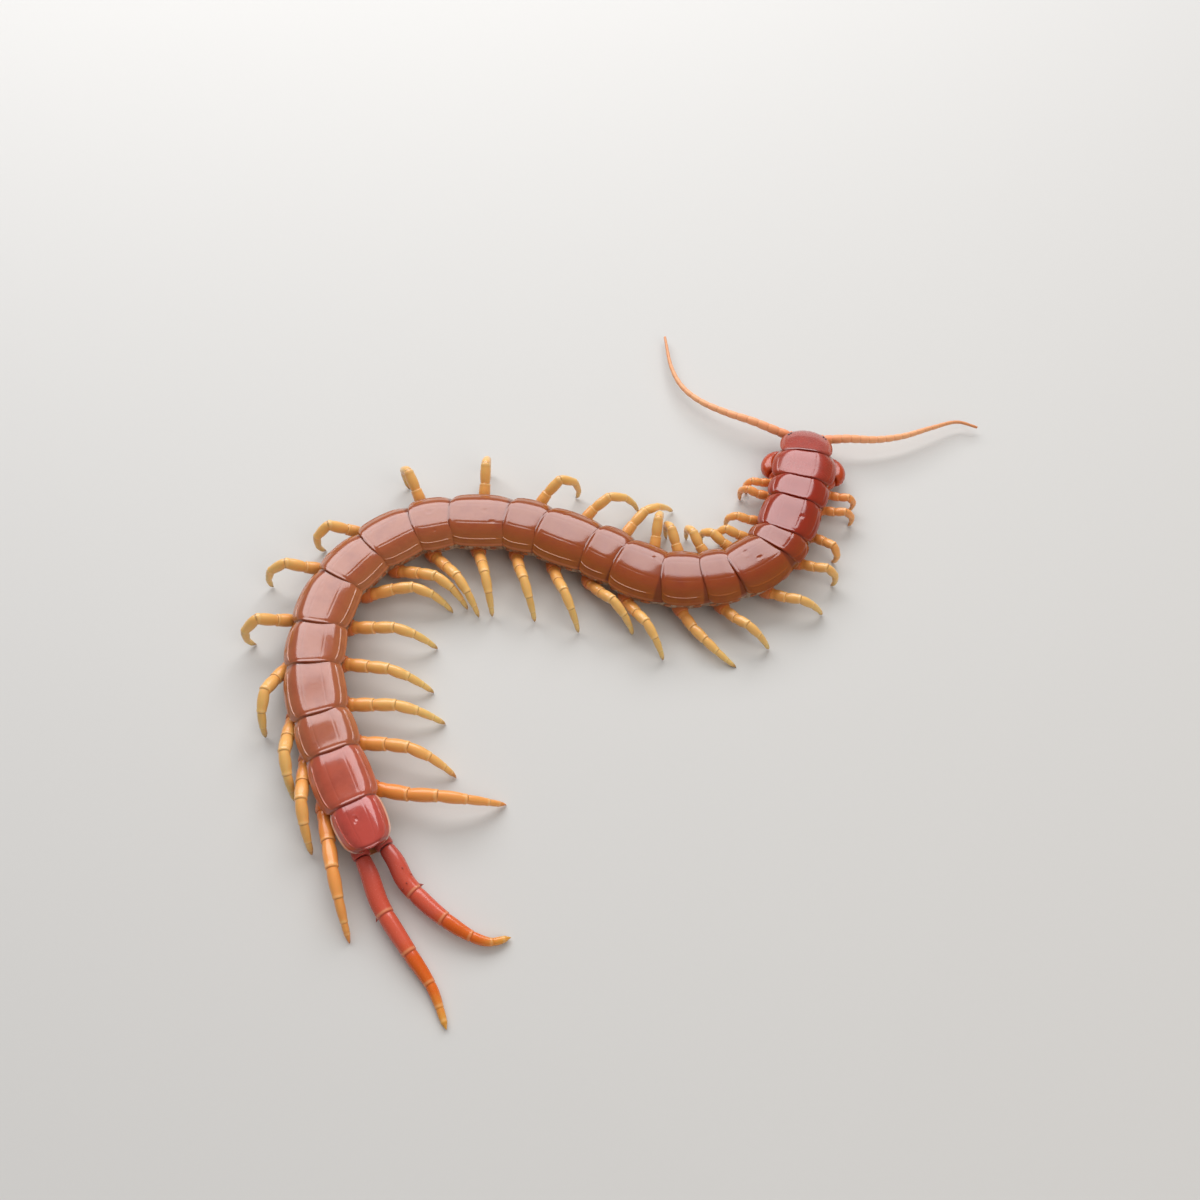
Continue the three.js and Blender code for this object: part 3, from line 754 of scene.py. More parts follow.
def bodySkin(material):
    # the soft skin between back and belly, drawn out in one piece from the neck to the tail
    half = [(side, height - skin["middle"]) for side, height in skin["half"]]
    rings = []
    for number in range(1, plateCount + 1):
        for share, wide, high in skin["rings"]:
            taper = 1 - 0.2 * share ** 2 if number == plateCount else 1
            width = wide * taper * bodyWidth(number + share - 0.5) / 2
            rings.append((-onPlate(number, share), width, high * mm, 0))
    _, width, height, _ = rings[-1]
    rings[0] = (-skin["neckInset"] * mm, rings[0][1], rings[0][2], 0)
    for inset, wide, high in skin["tailRings"]:
        rings.append((-trunk.length + inset * mm, width * wide, height * high, 0))
    section = outlineSection(half, skin["halfWidth"], 1)
    piece = extrudedPiece("body_skin", skin["sides"], rings, 2, section)
    keepStraightPlaces(piece, 0, 1 / mm)
    # fine folds across the soft sides
    points = pointsOf(piece)
    along, up = points[:, 0] / mm, points[:, 2] / mm
    sway = np.sin(up * 5.1 + np.sin(along * 0.9) * 1.4)
    folds = np.sin(along * 6.3 + sway) * 0.6 + np.sin(along * 2.9 - up * 1.7) * 0.4
    soft = np.clip(1 - np.abs(up + 0.7) / 2.6, 0, 1)
    points[:, 1] *= 1 + skin["wrinkle"] / 6 * folds * soft
    points[:, 2] += skin["middle"] * mm
    movePoints(piece, points)
    layAlong(piece, trunk)
    smooth(piece, 180)
    trunkNodes = [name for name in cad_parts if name.startswith("trunk_")]
    finishPiece(piece, material, "shell_red_brown", *trunkNodes)


flank = dict(
    # small shields on the sides: place along the plate, height in mm, length and height in mm
    shields=[(0.2, 5, 1.5, 0.8), (0.52, 4.85, 2.1, 0.95), (0.82, 5.05, 1.2, 0.7)],
    thickness=0.16,
    # how far out a shield sits at each height in mm, as a share of the half width, and how deep in mm
    out=[(4.4, 0.86), (4.9, 0.89), (5.2, 0.9), (5.7, 0.895)],
    sunk=0.03,
    # plates over which a breathing hole opens, its size in mm
    holes=[3, 5, 8, 10, 12, 14, 16, 18, 20],
    holeSize=(0.42, 0.22),
)


def flankShields(material, holeMaterial):
    # a low shield made from a ring that is drawn up and in, and copied along both sides
    rings = [(0, 1), (0.5, 0.97), (1.0, 0.8), (1.25, 0.4), (1.28, 0.1)]
    model = extrudedPiece("flankModel", 14, rings, 0)
    lip = [(0, 1.2), (0.6, 1.15), (0.8, 0.8), (0.3, 0.6, 0.5, 0), (0.25, 0.1, 0.08, 0)]
    holeModel = extrudedPiece("holeModel", 12, lip, 0)

    def place(source, name, number, side, share, height, long, high, finish):
        piece = copyOf(source, name)
        out = between(flank["out"], height) * bodyWidth(number) / 2
        piece.data.transform(Matrix.Diagonal((flank["thickness"] * mm, long / 2 * mm, high / 2 * mm, 1)))
        piece.data.transform(Matrix.Rotation(side * math.pi / 2, 4, "Z"))
        keepStraightPlaces(piece, number / plateCount, 1 / mm)
        where = (-onPlate(number, share), side * (out - flank["sunk"] * mm), height * mm)
        piece.data.transform(Matrix.Translation(where))
        layAlong(piece, trunk)
        smooth(piece, 60)
        finishPiece(piece, finish, "shell_red_brown")

    for number in range(2, plateCount):
        for name, side in bothSides:
            for order, (share, height, long, high) in enumerate(flank["shields"], 1):
                shieldName = f"flank_{name}_{number:02d}_{order}"
                place(model, shieldName, number, side, share, height, long, high, material)
            if number in flank["holes"]:
                long, high = flank["holeSize"]
                holeName = f"breathing_hole_{name}_{number:02d}"
                place(holeModel, holeName, number, side, 0.7, 5.5, long, high, holeMaterial)
    removePieces(model, holeModel)


leg = dict(
    # share of the length, share of the bend reached there, thickness in the middle and at the end
    pieces=[
        (0.25, 0.15, 1, 0.84), (0.22, 0.12, 0.93, 0.76), (0.21, 0.6, 0.82, 0.62), (0.17, 0.85, 0.6, 0.45),
        (0.09, 1, 0.42, 0.35), (0.06, 1.1, 0.3, 0.24),
    ],
    lengths=[(1, 9), (2, 10), (4, 12), (6, 13.8), (8, 16.3), (10, 17.8), (17, 18.5), (19, 19.5), (20, 24)],
    radii=[(1, 1), (5, 1.2), (12, 1.3), (20, 1.5)],
    hipShares=[(1, 0.92), (2, 0.6), (4, 0.5), (12, 0.5), (14, 0.75), (20, 0.78)],
    hipSideShare=0.93,
    hipHeight=3.1,
    hipDepth=2.4,
    footHeight=0.08,
    sides=14,
    trials=30,
    divisions=120,
    softCorner=0.022,
    # lead and turn in degrees, reach in mm, from the first pair to the twentieth
    right=[
        (-15, 40, 4.5), (-10, 40, 5.5), (-20, -20, 5), (-5, 30, 6.5), (25, 35, 10.5), (20, 40, 11),
        (28, 36, 14.5), (54, 8, 13), (61, 20, 12.5), (37, 20, 13.5), (27, 12, 13.5), (17, -5, 13),
        (24, -6, 15), (34, -26, 15), (44, -45, 16), (0, -4, 16), (-14, -8, 16.8), (-22, -10, 17.5),
        (-26, -30, 18), (-45, 28, 22.5),
    ],
    left=[
        (-25, 20, 4.5), (-25, 70, 5.5), (-35, 60, 6.5), (-25, 20, 4.5), (-30, 20, 7.5), (-30, 35, 8),
        (-22, 5, 8), (-19, 5, 8.5), (3, 35, 14.5), (15, 60, 13.5), (20, 60, 10), (5, -12, 10),
        (-10, -10, 8.5), (-52, -35, 6.5), (-48, 15, 11), (-32, 0, 8), (-60, -35, 13.5), (-68, -25, 14.5),
        (-70, -14, 16), (-78, -2, 22.5),
    ],
)


def legLine(side, hipSide, lead, turn, reach, length):
    # rises from the hip and comes down to the floor, with the rise and fall that fit the reach
    def trace(rise, fall):
        points, slopes, bearings = [np.array([0, side * hipSide, leg["hipHeight"]])], [], []
        done = run = 0
        for share, bend, _, _ in leg["pieces"]:
            slope = math.radians(rise - fall * bend)
            bearing = math.radians(lead + turn * (done + share / 2))
            flat = length * share * math.cos(slope)
            ahead, out = flat * math.sin(bearing), side * flat * math.cos(bearing)
            points.append(points[-1] + np.array([ahead, out, length * share * math.sin(slope)]))
            slopes.append(slope)
            bearings.append(bearing)
            run += flat
            done += share
        return points, slopes, bearings, run

    flatter, steeper = 0, 170
    for _ in range(leg["trials"]):
        fall = (flatter + steeper) / 2
        low, high = -60, 90
        for _ in range(leg["trials"]):
            rise = (low + high) / 2
            found = trace(rise, fall)
            low, high = (rise, high) if found[0][-1][2] < 0 else (low, rise)
        flatter, steeper = (fall, steeper) if found[3] > reach else (flatter, fall)
    return found[:3]


def legRoute(number, side):
    # the leg's line with soft corners at its joints, from the hip to the tip of the claw
    distance = onPlate(number, between(leg["hipShares"], number))
    hipSide = leg["hipSideShare"] * bodyWidth(number) / mm / 2
    lead, turn, reach = (leg["left"] if side > 0 else leg["right"])[number - 1]
    length = between(leg["lengths"], number)
    points, slopes, bearings = legLine(side, hipSide, lead, turn, reach, length)
    points[-1][2] = leg["footHeight"]
    shares = np.concatenate([[0], np.cumsum([row[0] for row in leg["pieces"]])])
    middles = (shares[1:] + shares[:-1]) / 2
    places, overs, soft = [], [], leg["softCorner"]
    for share in np.linspace(0, 1, leg["divisions"] + 1):
        span = min(int(np.searchsorted(shares, share, side="right")) - 1, len(slopes) - 1)
        weight = (share - shares[span]) / (shares[span + 1] - shares[span])
        place = points[span] * (1 - weight) + points[span + 1] * weight
        for joint in range(1, len(points) - 1):
            gone = (share - shares[joint]) / soft
            if abs(gone) < 1:
                before = (points[joint - 1] - points[joint]) * soft / (shares[joint] - shares[joint - 1])
                after = (points[joint + 1] - points[joint]) * soft / (shares[joint + 1] - shares[joint])
                w = (gone + 1) / 2
                place = points[joint] + (1 - w) ** 2 * before + w ** 2 * after
        slope = np.interp(share, middles, slopes)
        bearing = np.interp(share, middles, bearings)
        places.append(place * mm)
        lean = -math.sin(slope)
        overs.append([lean * math.sin(bearing), side * lean * math.cos(bearing), math.cos(slope)])
    there = np.array(trunk.matrixAt(distance))
    places = np.array(places) @ there[:3, :3].T + there[:3, 3]
    overs = np.array(overs) @ there[:3, :3].T
    return Route(places, overs)


def legModel():
    # one straight leg, a unit long and a unit thick, with a collar and a waist at each joint and a claw
    rings = [(-0.02, 0.62), (-0.012, 0.84), (0.02, 0.95), (0.045, 0.9)]
    done, before = 0.05, 0.9
    pieces = leg["pieces"]
    for number, (_, _, middle, end) in enumerate(pieces[:-1]):
        finish = sum(row[0] for row in pieces[: number + 1])
        span = finish - done
        first, full, late = before * 0.9, middle * 0.95, middle * 0.4 + end * 0.6
        for share, radius in ((0.05, first), (0.18, (first + full) / 2), (0.42, full), (0.72, late)):
            rings.append((done + share * span, radius, radius * 1.02, 0))
        for step, swell in ((-0.035, 1.02), (-0.014, 1.06), (-0.005, 1.05), (-0.001, 0.93), (0.004, 0.86)):
            rings.append((finish + step, end * swell))
        done, before = finish + 0.005, end
    rings += [(done + 0.01, 0.26, 0.3, 0.02), (done + 0.025, 0.2, 0.24, 0.04)]
    rings += [(done + 0.04, 0.11, 0.13, 0.02), (1.0, 0.03, 0.03, -0.02)]
    piece = extrudedPiece("legModel", leg["sides"], rings)
    return piece


hip = dict(
    rings=[
        (-1, 1.24, 1.4, 0), (-0.62, 1.3, 1.42, 0), (-0.3, 1.24, 1.3, 0), (-0.1, 1.15, 1.18, 0),
        (-0.02, 1.1, 1.12, 0), (0.03, 1.06), (0.06, 0.9), (0.04, 0.6),
    ],
    rise=0.1,
    turn=0.7,
)


def walkingLegs(material, hipMaterial):
    model = legModel()
    hipModel = extrudedPiece("hipModel", leg["sides"], hip["rings"])
    for number in range(1, plateCount):
        bodyTurn = trunk.matrixAt(onPlate(number, between(leg["hipShares"], number))).to_3x3()
        radius = between(leg["radii"], number) * mm
        for name, side in bothSides:
            route = legRoute(number, side)
            piece = copyOf(model, f"walking_leg_{name}_{number:02d}")
            node = f"leg_{name}_{number:02d}"
            roundPiece(piece, route, material, "leg_amber", node, radius=radius, number=number / plateCount)
            base = copyOf(hipModel, f"hip_{name}_{number:02d}")
            there = route.matrixAt(0)
            away = there.to_3x3() @ Vector((1, 0, 0))
            inward = (bodyTurn @ Vector((0, -side, hip["rise"]))).lerp(-away, hip["turn"]).normalized()
            size = (leg["hipDepth"] * mm, radius, radius)
            place = there.translation
            standingPiece(base, place, -inward, hipMaterial, "leg_amber", size, number / plateCount)
    removePieces(model, hipModel)


lastLeg = dict(
    left=[
        (-43.4, -50.2, 3.5), (-41.3, -55, 2.9), (-36, -62.6, 2.1), (-31.9, -68.2, 1.1), (-29.2, -74.5, 0.5),
    ],
    right=[
        (-39.2, -48, 3.5), (-37.2, -51.4, 2.9), (-29.8, -57.8, 2.1), (-23.4, -60.7, 1.1),
        (-19.6, -59.8, 0.5),
    ],
    behind=0.5,
    side=2.1,
    height=3.8,
    gap=0.3,
    radii=[(0, 1.42), (0.1, 1.6), (0.2, 1.62), (0.36, 1.5), (0.58, 1.3), (0.8, 0.9), (1, 0.5)],
    joints=[0.33, 0.57, 0.76, 0.89, 0.965],
    sides=16,
    divisions=120,
    spurDepth=0.94,
    spurLean=-52,
    # thorns on the first piece: place along it, turn round it in degrees, length and thickness in mm
    spurs=[
        (0.16, 70, 0.4, 0.18), (0.22, 35, 0.4, 0.18), (0.26, 95, 0.4, 0.18), (0.19, 150, 0.35, 0.16),
        (0.27, 140, 0.35, 0.16), (0.315, 20, 0.7, 0.3),
    ],
)


def lastLegs(material, lobeMaterial, thornMaterial):
    joints = lastLeg["joints"]
    rings = [(-0.006, 1.1), (-0.002, 1.36)]
    start = 0.0
    for finish in joints:
        span = finish - start
        for share, swell in ((0.06, 0.97), (0.2, 1.0), (0.45, 1.02), (0.75, 1.0)):
            radius = between(lastLeg["radii"], start + share * span) * swell
            rings.append((start + share * span, radius))
        radius = between(lastLeg["radii"], finish)
        for step, swell in ((-0.016, 1.02), (-0.008, 1.03), (-0.003, 1.0), (0.0, 0.9), (0.004, 0.9)):
            rings.append((finish + step, radius * swell))
        start = finish + 0.005
    rings += [(0.975, 0.36), (0.99, 0.18), (1.0, 0.04)]
    model = extrudedPiece("lastLegModel", lastLeg["sides"], rings)
    lobeRings = [
        (-3.3, 1, 1.2, 0), (-2.2, 1.5, 1.7, 0), (-1, 1.64, 1.72, 0), (-0.35, 1.62), (-0.1, 1.54), (0, 1.46),
        (-0.05, 0.9),
    ]
    lobeModel = extrudedPiece("lobeModel", lastLeg["sides"], lobeRings)
    tail = trunk.matrixAt(trunk.length)
    for name, side in bothSides:
        face = placeIn(tail, side, -lastLeg["behind"], lastLeg["side"], lastLeg["height"])
        route = drawnPlaces(lastLeg[name])
        away = (route[0] - face).normalized()
        root = face + away * lastLeg["gap"] * mm
        line = Route(curvePoints([root, *route], lastLeg["divisions"]))
        piece = copyOf(model, f"last_leg_{name}")
        node = f"leg_{name}_{plateCount}"
        roundPiece(piece, line, material, "leg_coral", node, number=1, scale=(1, 1 / 1.5, 1 / 1.5))
        standingPiece(copyOf(lobeModel, f"last_lobe_{name}"), face, away, lobeMaterial, "leg_coral", number=1)
        for order, (share, angle, long, thick) in enumerate(lastLeg["spurs"], 1):
            radius = between(lastLeg["radii"], share)
            sharp = [(-0.15, thick * 1.1), (0.1, thick * 0.8)]
            sharp += [(long * 0.6, thick * 0.4), (long, 0.02)]
            thorn = extrudedPiece(f"thorn_{name}_{order}", 8, sharp, 0)
            keepStraightPlaces(thorn, 0, (1 / long, 1, 1))
            lean = Matrix.Rotation(math.radians(side * angle), 4, "X")
            lean = lean @ Matrix.Translation((0, -radius * lastLeg["spurDepth"], 0))
            lean = lean @ Matrix.Rotation(math.radians(lastLeg["spurLean"]), 4, "Z")
            thorn.data.transform(Matrix.Diagonal((mm, mm, mm, 1)) @ Matrix.Diagonal((1, side, 1, 1)) @ lean)
            thorn.data.transform(line.matrixAt(share * line.length))
            facesOutwards(thorn)
            smooth(thorn, 40)
            finishPiece(thorn, thornMaterial, "leg_coral")
    removePieces(model, lobeModel)


feeler = dict(
    left=[
        (27, 48.6, 4.6), (21.8, 51.3, 4.2), (16.6, 55, 3.6), (13, 59.5, 3), (10.8, 66, 2.2),
        (9.6, 76.5, 1.4),
    ],
    right=[
        (46.5, 43.8, 4.5), (52.6, 43.9, 4.1), (58.7, 45.3, 3.6), (65.2, 48.1, 3), (71.2, 50.4, 2.2),
        (75.4, 49.4, 1.6),
    ],
    articles=19,
    divisions=240,
    rootRadius=1.0,
    tipRadius=0.28,
    rootLength=0.8,
    gap=0.3,
    sides=14,
    socket=(8.3, 3.7, -0.4),
    socketRings=[
        (-2, 0.9), (-0.9, 1.12), (-0.25, 1.17), (-0.05, 1.12), (0, 1), (-0.1, 0.7),
    ],
)
head = dict(
    length=9.0,
    width=10.8,
    pitch=20,
    sides=36,
    rearHeight=8.5,
    top=1.9,
    # across the shield: share of the half width, and height over the head's middle in mm
    columns=[
        (0, 1.9), (0.14, 1.89), (0.28, 1.86), (0.42, 1.79), (0.55, 1.67), (0.67, 1.5), (0.77, 1.32),
        (0.86, 1.1), (0.93, 0.86), (0.975, 0.66), (1, 0.46),
    ],
    # along the shield from its front: shares of the length and the width, lift in mm, share of the height
    rows=[
        (0, 0.24, 0, 0.4), (0.025, 0.4, 0, 0.5), (0.06, 0.54, 0, 0.6), (0.12, 0.68, 0, 0.71),
        (0.2, 0.8, 0, 0.81), (0.3, 0.89, 0, 0.89), (0.42, 0.955, 0, 0.955), (0.56, 0.995, 0, 1),
        (0.7, 1, 0, 1.01), (0.82, 0.985, 0.02, 1), (0.91, 0.96, 0.07, 0.98), (0.97, 0.92, 0.12, 0.97),
        (1.02, 0.87, 0.15, 0.96), (1.05, 0.8, 0.12, 0.95),
    ],
    shieldThickness=0.26,
    rimDepth=0.045,
    # the furrow in the middle of the front: share of the half width, and depth in mm
    furrowWidth=0.14 / 4.7,
    furrowDepth=0.06,
    # half a section of the soft head under the shield
    half=[
        (0, 0.84), (0.45, 0.78), (0.78, 0.55), (0.93, 0.3), (0.95, 0.05), (0.84, -0.25), (0.5, -0.62),
        (0, -0.72),
    ],
    # along the soft head from its rear: place in mm, shares of the width and height
    bodyRings=[
        (-0.7, 0.7, 0.74), (-0.2, 0.76, 0.8), (0.3, 0.86, 0.9), (1.1, 0.94, 1), (2.3, 0.96, 1),
        (3.8, 0.95, 1), (5.4, 0.88, 0.95), (6.8, 0.74, 0.84), (7.9, 0.56, 0.7), (8.5, 0.36, 0.52),
        (8.75, 0.16, 0.3),
    ],
    eyes=[(5.6, 4.35, 0.8), (6.3, 3.95, 0.8), (5.75, 3.8, 1.15), (6.4, 3.35, 1.15)],
    eyeSize=0.8,
    eyeRings=[
        (-0.12, 0.34), (0.02, 0.36), (0.06, 0.33), (0.04, 0.28), (0.13, 0.25), (0.19, 0.17), (0.22, 0.04),
    ],
    palpDivisions=60,
    # places along a palp, and how far each ring swells or draws in
    palpRings=[
        (0, 0.8), (0.06, 1), (0.3, 1.08), (0.34, 0.92), (0.37, 1), (0.62, 1.05), (0.66, 0.9), (0.69, 1),
        (0.88, 1), (0.96, 0.8), (1, 0.2),
    ],
    # the line and the radius of a palp under the front, in the frame of the head
    palp=[
        (4.6, 2.9, -1.5, 0.5), (6.2, 3.1, -1.75, 0.48), (7.7, 2.5, -1.6, 0.42), (8.7, 1.5, -1.35, 0.34),
        (9, 0.6, -1.3, 0.16),
    ],
)
neck = trunk.matrixAt(0)
headFrame = (
    neck
    @ Matrix.Translation((0, 0, (head["rearHeight"] - head["top"]) * mm))
    @ Matrix.Rotation(math.radians(head["pitch"]), 4, "Y")
)


def feelers(material):
    count = feeler["articles"]
    rings = [(-0.004, 0.5)]
    for article in range(count):
        for share, swell in ((0.04, 0.9), (0.16, 1.0), (0.55, 1.03), (0.86, 1.0), (0.97, 0.9)):
            place = (article + share) / count
            wide = feeler["rootRadius"] + (feeler["tipRadius"] - feeler["rootRadius"]) * place
            rings.append((place, wide * swell))
    tip = feeler["tipRadius"]
    rings += [(0.998, tip * 0.6), (1.0, tip * 0.25)]
    model = extrudedPiece("feelerModel", feeler["sides"], rings)
    socketModel = extrudedPiece("socketModel", 16, feeler["socketRings"])
    for name, side in bothSides:
        socket = placeIn(headFrame, side, *feeler["socket"])
        route = drawnPlaces(feeler[name])
        outward = (route[0] - socket).normalized()
        straight = socket + outward * (feeler["gap"] + feeler["rootLength"]) * mm
        places = np.vstack([np.array(socket)[None, :], curvePoints([straight, *route], feeler["divisions"])])
        line = Route(places)
        piece = copyOf(model, f"feeler_horn_{name}")
        roundPiece(piece, line, material, "feeler_peach", f"feeler_{name}")
        ring = copyOf(socketModel, f"feeler_socket_{name}")
        standingPiece(ring, socket, outward, material, "feeler_peach")
    removePieces(model, socketModel)


def headPieces(shieldMaterial, softMaterial, eyeMaterial, palpMaterial):
    wide, long = head["width"] / 2 * mm, head["length"] * mm
    shield = plateModel("head_shield", head["rows"], head["columns"])
    keepStraightPlaces(shield)
    carvePlate(
        shield, head["rows"], long, wide, rim=head["rimDepth"], swell=0.3, lastGroove=1.04, firstGroove=0.5
    )
    # the front is rounded, with a short furrow in its middle
    points = pointsOf(shield)
    share, across = -points[:, 0] / long, points[:, 1] / wide
    points[:, 0] += 0.3 * mm * np.clip(1 - share * 6, 0, 1) ** 2 * (1 - (across / 0.5) ** 2)
    furrow = bell(across, 0, head["furrowWidth"]) * np.clip(1 - share * 3.2, 0, 1)
    points[:, 2] -= head["furrowDepth"] * mm * furrow
    movePoints(shield, points)
    thicken(shield, head["shieldThickness"])
    shield.data.transform(headFrame @ Matrix.Translation((long, 0, 0)))
    smooth(shield)
    finishPiece(shield, shieldMaterial, "shell_dusky_red", "head")

    rings = [(at * mm, w * wide, h * head["top"] * mm, 0) for at, w, h in head["bodyRings"]]
    section = outlineSection(head["half"], head["width"] / 2, head["top"])
    soft = extrudedPiece("head_body", head["sides"], rings, 2, section)
    keepStraightPlaces(soft, 0, 1 / mm)
    soft.data.transform(headFrame)
    smooth(soft, 180)
    finishPiece(soft, softMaterial, "shell_dusky_red")

    eyeModel = extrudedPiece("eyeModel", 14, head["eyeRings"])
    for name, side in bothSides:
        for number, spot in enumerate(head["eyes"], 1):
            eye = copyOf(eyeModel, f"eye_{name}_{number}")
            _, place, normal, _ = shield.closest_point_on_mesh(placeIn(headFrame, side, *spot))
            size = [head["eyeSize"] * mm] * 3
            standingPiece(eye, place, normal, eyeMaterial, "shell_dusky_red", size)
    removePieces(eyeModel)

    rows = head["palp"]
    for name, side in bothSides:
        points = [placeIn(headFrame, side, *row[:3]) for row in rows]
        line = Route(curvePoints(points, head["palpDivisions"]))
        table = [(number / 4, row[3]) for number, row in enumerate(rows)]
        rings = []
        for share, swell in head["palpRings"]:
            radius = between(table, share) * swell
            rings.append((share, radius))
        palp = extrudedPiece(f"palp_{name}", 12, rings)
        roundPiece(palp, line, palpMaterial, "claw_orange")


claw = dict(
    # ahead of the head's rear edge, sideways, height, and radius
    rows=[
        (-2.8, 6.2, 3.2, 1.3), (-2, 6.9, 3, 1.65), (0, 7, 2.7, 1.65), (2, 6.1, 2.3, 1.3),
        (3.8, 4.4, 1.6, 0.85), (5, 2.5, 1.5, 0.5), (5.4, 0.9, 1.4, 0.3),
    ],
    # places along it, and how far each ring swells or draws in
    rings=[
        (0, 0.9), (0.015, 1), (0.08, 1), (0.2, 1.02), (0.32, 1), (0.4, 1.04), (0.425, 1.04), (0.435, 0.93),
        (0.445, 0.93), (0.455, 1.02), (0.485, 1.04), (0.495, 0.93), (0.505, 0.93), (0.515, 1.02),
        (0.55, 1.04), (0.562, 0.94), (0.572, 0.94), (0.59, 1.05), (0.66, 1.05), (0.75, 0.96), (0.84, 0.9),
        (0.92, 0.75), (0.97, 0.5),
    ],
    sides=18,
    gap=0.3,
    rootDepth=2.6,
    rootShoulder=0.6,
    divisions=120,
    rootRings=[(0, 1), (0.5, 1.08), (0.85, 1.04), (0.97, 0.96), (1, 0.8)],
)
jawPlate = dict(
    # a broad plate under the head and the first legs, between the poison claws, with two rows of teeth
    columns=[(0, 0), (0.2, -0.01), (0.4, 0.02), (0.6, 0.1), (0.8, 0.3), (0.92, 0.6), (1, 1)],
    rows=[
        (0, 0.4, 0), (0.03, 0.52, -0.02), (0.1, 0.72, 0), (0.22, 0.94, 0), (0.38, 1, 0), (0.6, 1, 0),
        (0.8, 0.96, 0.02), (0.93, 0.88, 0.05), (1, 0.78, 0.12),
    ],
    front=3.4,
    length=8.6,
    halfWidth=4.9,
    level=1.62,
    thickness=0.3,
    teeth=[(0.35, 0.2), (0.72, 0.24), (1.1, 0.24), (1.48, 0.2)],
)


def poisonClaws(material, plateMaterial, toothMaterial):
    for name, side in bothSides:
        points = [placeIn(neck, side, *row[:3]) for row in claw["rows"]]
        spans = claw["divisions"]
        line = Route(curvePoints(points, spans))
        marks = np.interp(np.linspace(0, spans, len(points)), np.arange(spans + 1), line.reach) / line.length
        table = list(zip(marks, [row[3] for row in claw["rows"]]))
        rings = []
        for share, swell in claw["rings"]:
            radius = between(table, share) * swell
            rings.append((share, radius))
        rings.append((1.0, 0.05))
        piece = extrudedPiece(f"claw_horn_{name}", claw["sides"], rings)
        roundPiece(piece, line, material, "claw_orange", f"poison_claw_{name}")

        away = (points[1] - points[0]).normalized()
        face = points[0] - away * claw["gap"] * mm
        inside = neck.to_3x3() @ Vector((-1, -side, 0)).normalized()
        start = face - away * claw["rootShoulder"] * mm + inside * claw["rootDepth"] * mm
        reach = (face - start).length / mm
        thick = claw["rows"][0][3]
        rings = [(reach * share, thick * swell) for share, swell in claw["rootRings"]]
        root = extrudedPiece(f"claw_root_{name}", claw["sides"], rings)
        standingPiece(root, start, face - start, material, "claw_orange", scale=(0.02, 1, 1))

    piece = plateModel("jaw_plate", jawPlate["rows"], jawPlate["columns"])
    keepStraightPlaces(piece)
    carvePlate(piece, jawPlate["rows"], jawPlate["length"] * mm, jawPlate["halfWidth"] * mm, 0.0)
    thicken(piece, jawPlate["thickness"])
    level = jawPlate["level"]
    piece.data.transform(neck @ Matrix.Translation((jawPlate["front"] * mm, 0, level * mm)))
    smooth(piece)
    finishPiece(piece, plateMaterial, "claw_orange")
    for name, side in bothSides:
        for number, (out, thick) in enumerate(jawPlate["teeth"], 1):
            rings = [(-0.3, thick), (0.15, thick), (0.4, thick * 0.6), (0.5, 0.05)]
            tooth = extrudedPiece(f"tooth_{name}_{number}", 8, rings, 0)
            keepStraightPlaces(tooth, 0, (2, 1, 1))
            place = (jawPlate["front"] * mm, side * out * mm, (level - 0.1) * mm)
            tooth.data.transform(neck @ Matrix.Translation(place) @ Matrix.Diagonal((mm, mm, mm, 1)))
            smooth(tooth, 60)
            finishPiece(tooth, toothMaterial, "claw_orange")


legJoints = [float(place) for place in np.cumsum([row[0] for row in leg["pieces"]])[:-1]]
shellFinish = shellMaterial("shellHorn")
frontFinish = shellMaterial("frontHorn", 0.1)
bellyFinish = hornMaterial("bellyHorn", (190, 122, 76), (150, 84, 50), (206, 150, 104), 0.38)
flankFinish = hornMaterial("flankHorn", (176, 104, 62), (134, 72, 42), (196, 136, 92), 0.42)
holeFinish = hornMaterial("holeHorn", (70, 30, 20), (28, 12, 10), (96, 44, 28), 0.4)
headSoftFinish = hornMaterial("headSoftHorn", (176, 74, 50), (140, 48, 36), (200, 110, 76), 0.38)
eyeFinish = hornMaterial("eyeGloss", (26, 14, 14), (10, 6, 8), (54, 30, 28), 0.12)
toothFinish = hornMaterial("toothHorn", (50, 20, 14), (22, 10, 8), (84, 34, 22), 0.25)
jawFinish = hornMaterial("jawHorn", (192, 84, 42), (160, 58, 32), (212, 118, 70), 0.3)
legFinish = legMaterial(
    "legHorn",
    [(0.0, 224, 138, 66), (0.1, 232, 156, 80), (0.3, 236, 174, 96), (0.6, 238, 186, 108),
     (0.9, 234, 196, 116), (0.985, 176, 132, 74)],
    legJoints,
)
hipFinish = legMaterial("hipHorn", [(0.0, 196, 104, 50), (1.0, 218, 138, 66)], [])
lastFinish = legMaterial(
    "lastLegHorn",
    [(0.0, 192, 80, 66), (0.3, 202, 82, 58), (0.5, 208, 88, 62), (0.57, 208, 88, 44),
     (0.6, 212, 90, 24), (0.8, 218, 104, 26), (0.96, 224, 156, 64)],
    lastLeg["joints"], 0.3, 0.26, 0.25, 0,
)
lobeFinish = legMaterial("lobeHorn", [(0.0, 180, 70, 58), (1.0, 186, 62, 54)], [], rear=0)
thornFinish = hornMaterial("thornHorn", (172, 62, 44), (120, 40, 28), (214, 130, 100), 0.3)
clawFinish = legMaterial(
    "clawHorn",
    [(0.0, 184, 70, 26), (0.5, 176, 58, 20), (0.6, 158, 46, 18), (0.74, 96, 28, 14), (0.9, 34, 14, 10)],
    [], 0, 0.24, rear=0,
)
palpStops = [(0.0, 206, 104, 52), (0.8, 216, 130, 66), (1.0, 120, 60, 34)]
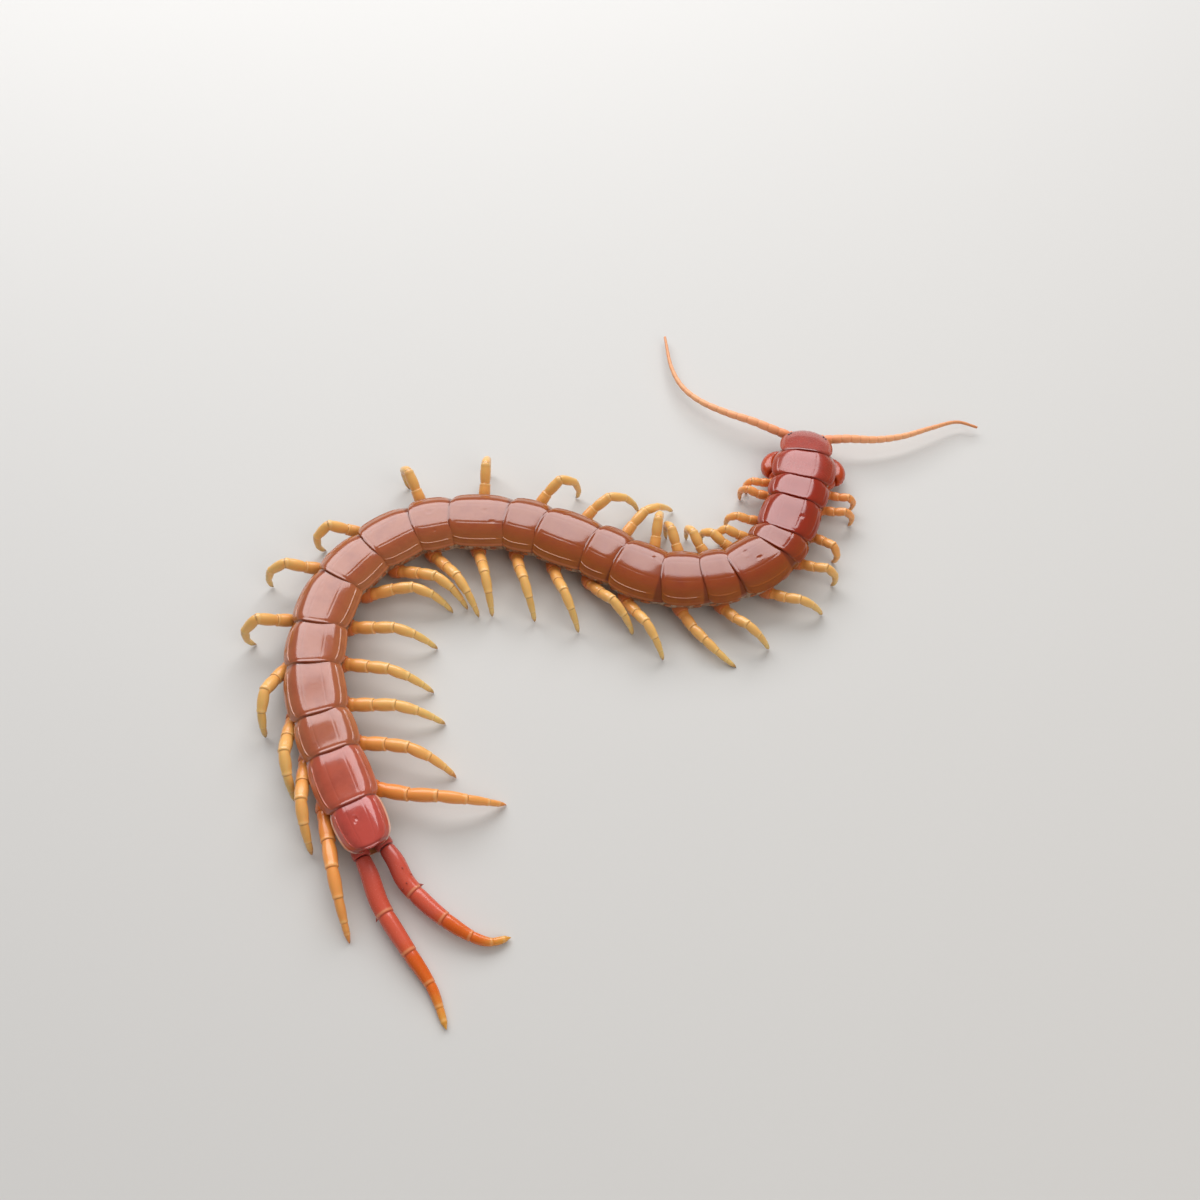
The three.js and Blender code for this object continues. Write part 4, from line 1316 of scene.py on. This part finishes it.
palpFinish = legMaterial("palpHorn", palpStops, [], rear=0)

backPlates(shellFinish, frontFinish)
print("back plates made")
bellyPlates(bellyFinish)
bodySkin(skinMaterial())
flankShields(flankFinish, holeFinish)
print("belly, skin and flanks made")
walkingLegs(legFinish, hipFinish)
print("walking legs made")
lastLegs(lastFinish, lobeFinish, thornFinish)
feelers(feelerMaterial())
print("last legs and feelers made")
headPieces(frontFinish, headSoftFinish, eyeFinish, palpFinish)
poisonClaws(clawFinish, jawFinish, toothFinish)
print("head and poison claws made")


studio = dict(
    floorSize=3.0,
    floorColour=rgb(206, 203, 199),
    cameraPlace=(-6.7, -122, 196.56),
    cameraTilt=33,
    cameraAngle=53,
    # place, aim, size, power and colour of each soft lamp
    lamps=dict(
        windowLight=((-0.1, 0.45, 0.4), (0, 0, 0), (0.85, 0.42), 5.0, (0.95, 0.97, 1.0)),
        fillLight=((0.35, -0.35, 0.45), (0, 0, 0), (0.5, 0.5), 1.5, (1.0, 0.96, 0.9)),
        topLight=((0.0, 0.05, 0.7), (0, 0, 0), (0.5, 0.5), 0.9, (1.0, 1.0, 1.0)),
    ),
    skyColour=(0.9, 0.92, 0.95, 1),
    skyStrength=0.2,
)
clearSelection()
bpy.ops.mesh.primitive_plane_add(size=studio["floorSize"], location=(0, 0, 0))
floor = bpy.context.object
floor.name = "floor"
floorPaint = Paint("floorPaper")
grain = floorPaint.noise(900.0, 3.0)
paper = floorPaint.mix(grain * 0.2, studio["floorColour"], rgb(202, 199, 194))
floor.data.materials.append(floorPaint.finish(Base_Color=paper, Roughness=0.8))

for name, (place, aim, size, power, colour) in studio["lamps"].items():
    clearSelection()
    bpy.ops.object.light_add(type="AREA", location=place)
    lamp = bpy.context.object
    lamp.name = name
    lamp.data.shape = "RECTANGLE"
    lamp.data.size, lamp.data.size_y = size
    lamp.data.energy = power
    lamp.data.color = colour
    lamp.visible_glossy = name == "windowLight"
    lamp.rotation_euler = (Vector(aim) - Vector(place)).to_track_quat("-Z", "Y").to_euler()
world = bpy.data.worlds.new("studioWorld")
bpy.context.scene.world = world
world.use_nodes = True
sky = world.node_tree.nodes["Background"]
sky.inputs[0].default_value = studio["skyColour"]
sky.inputs[1].default_value = studio["skyStrength"]
bpy.context.scene.view_settings.view_transform = "Standard"

clearSelection()
cameraPlace = [value * mm for value in studio["cameraPlace"]]
bpy.ops.object.camera_add(location=cameraPlace, rotation=(math.radians(studio["cameraTilt"]), 0, 0))
camera = bpy.context.object
camera.data.angle = math.radians(studio["cameraAngle"])
camera.data.clip_start = 0.01
camera.data.clip_end = 10
bpy.context.scene.camera = camera
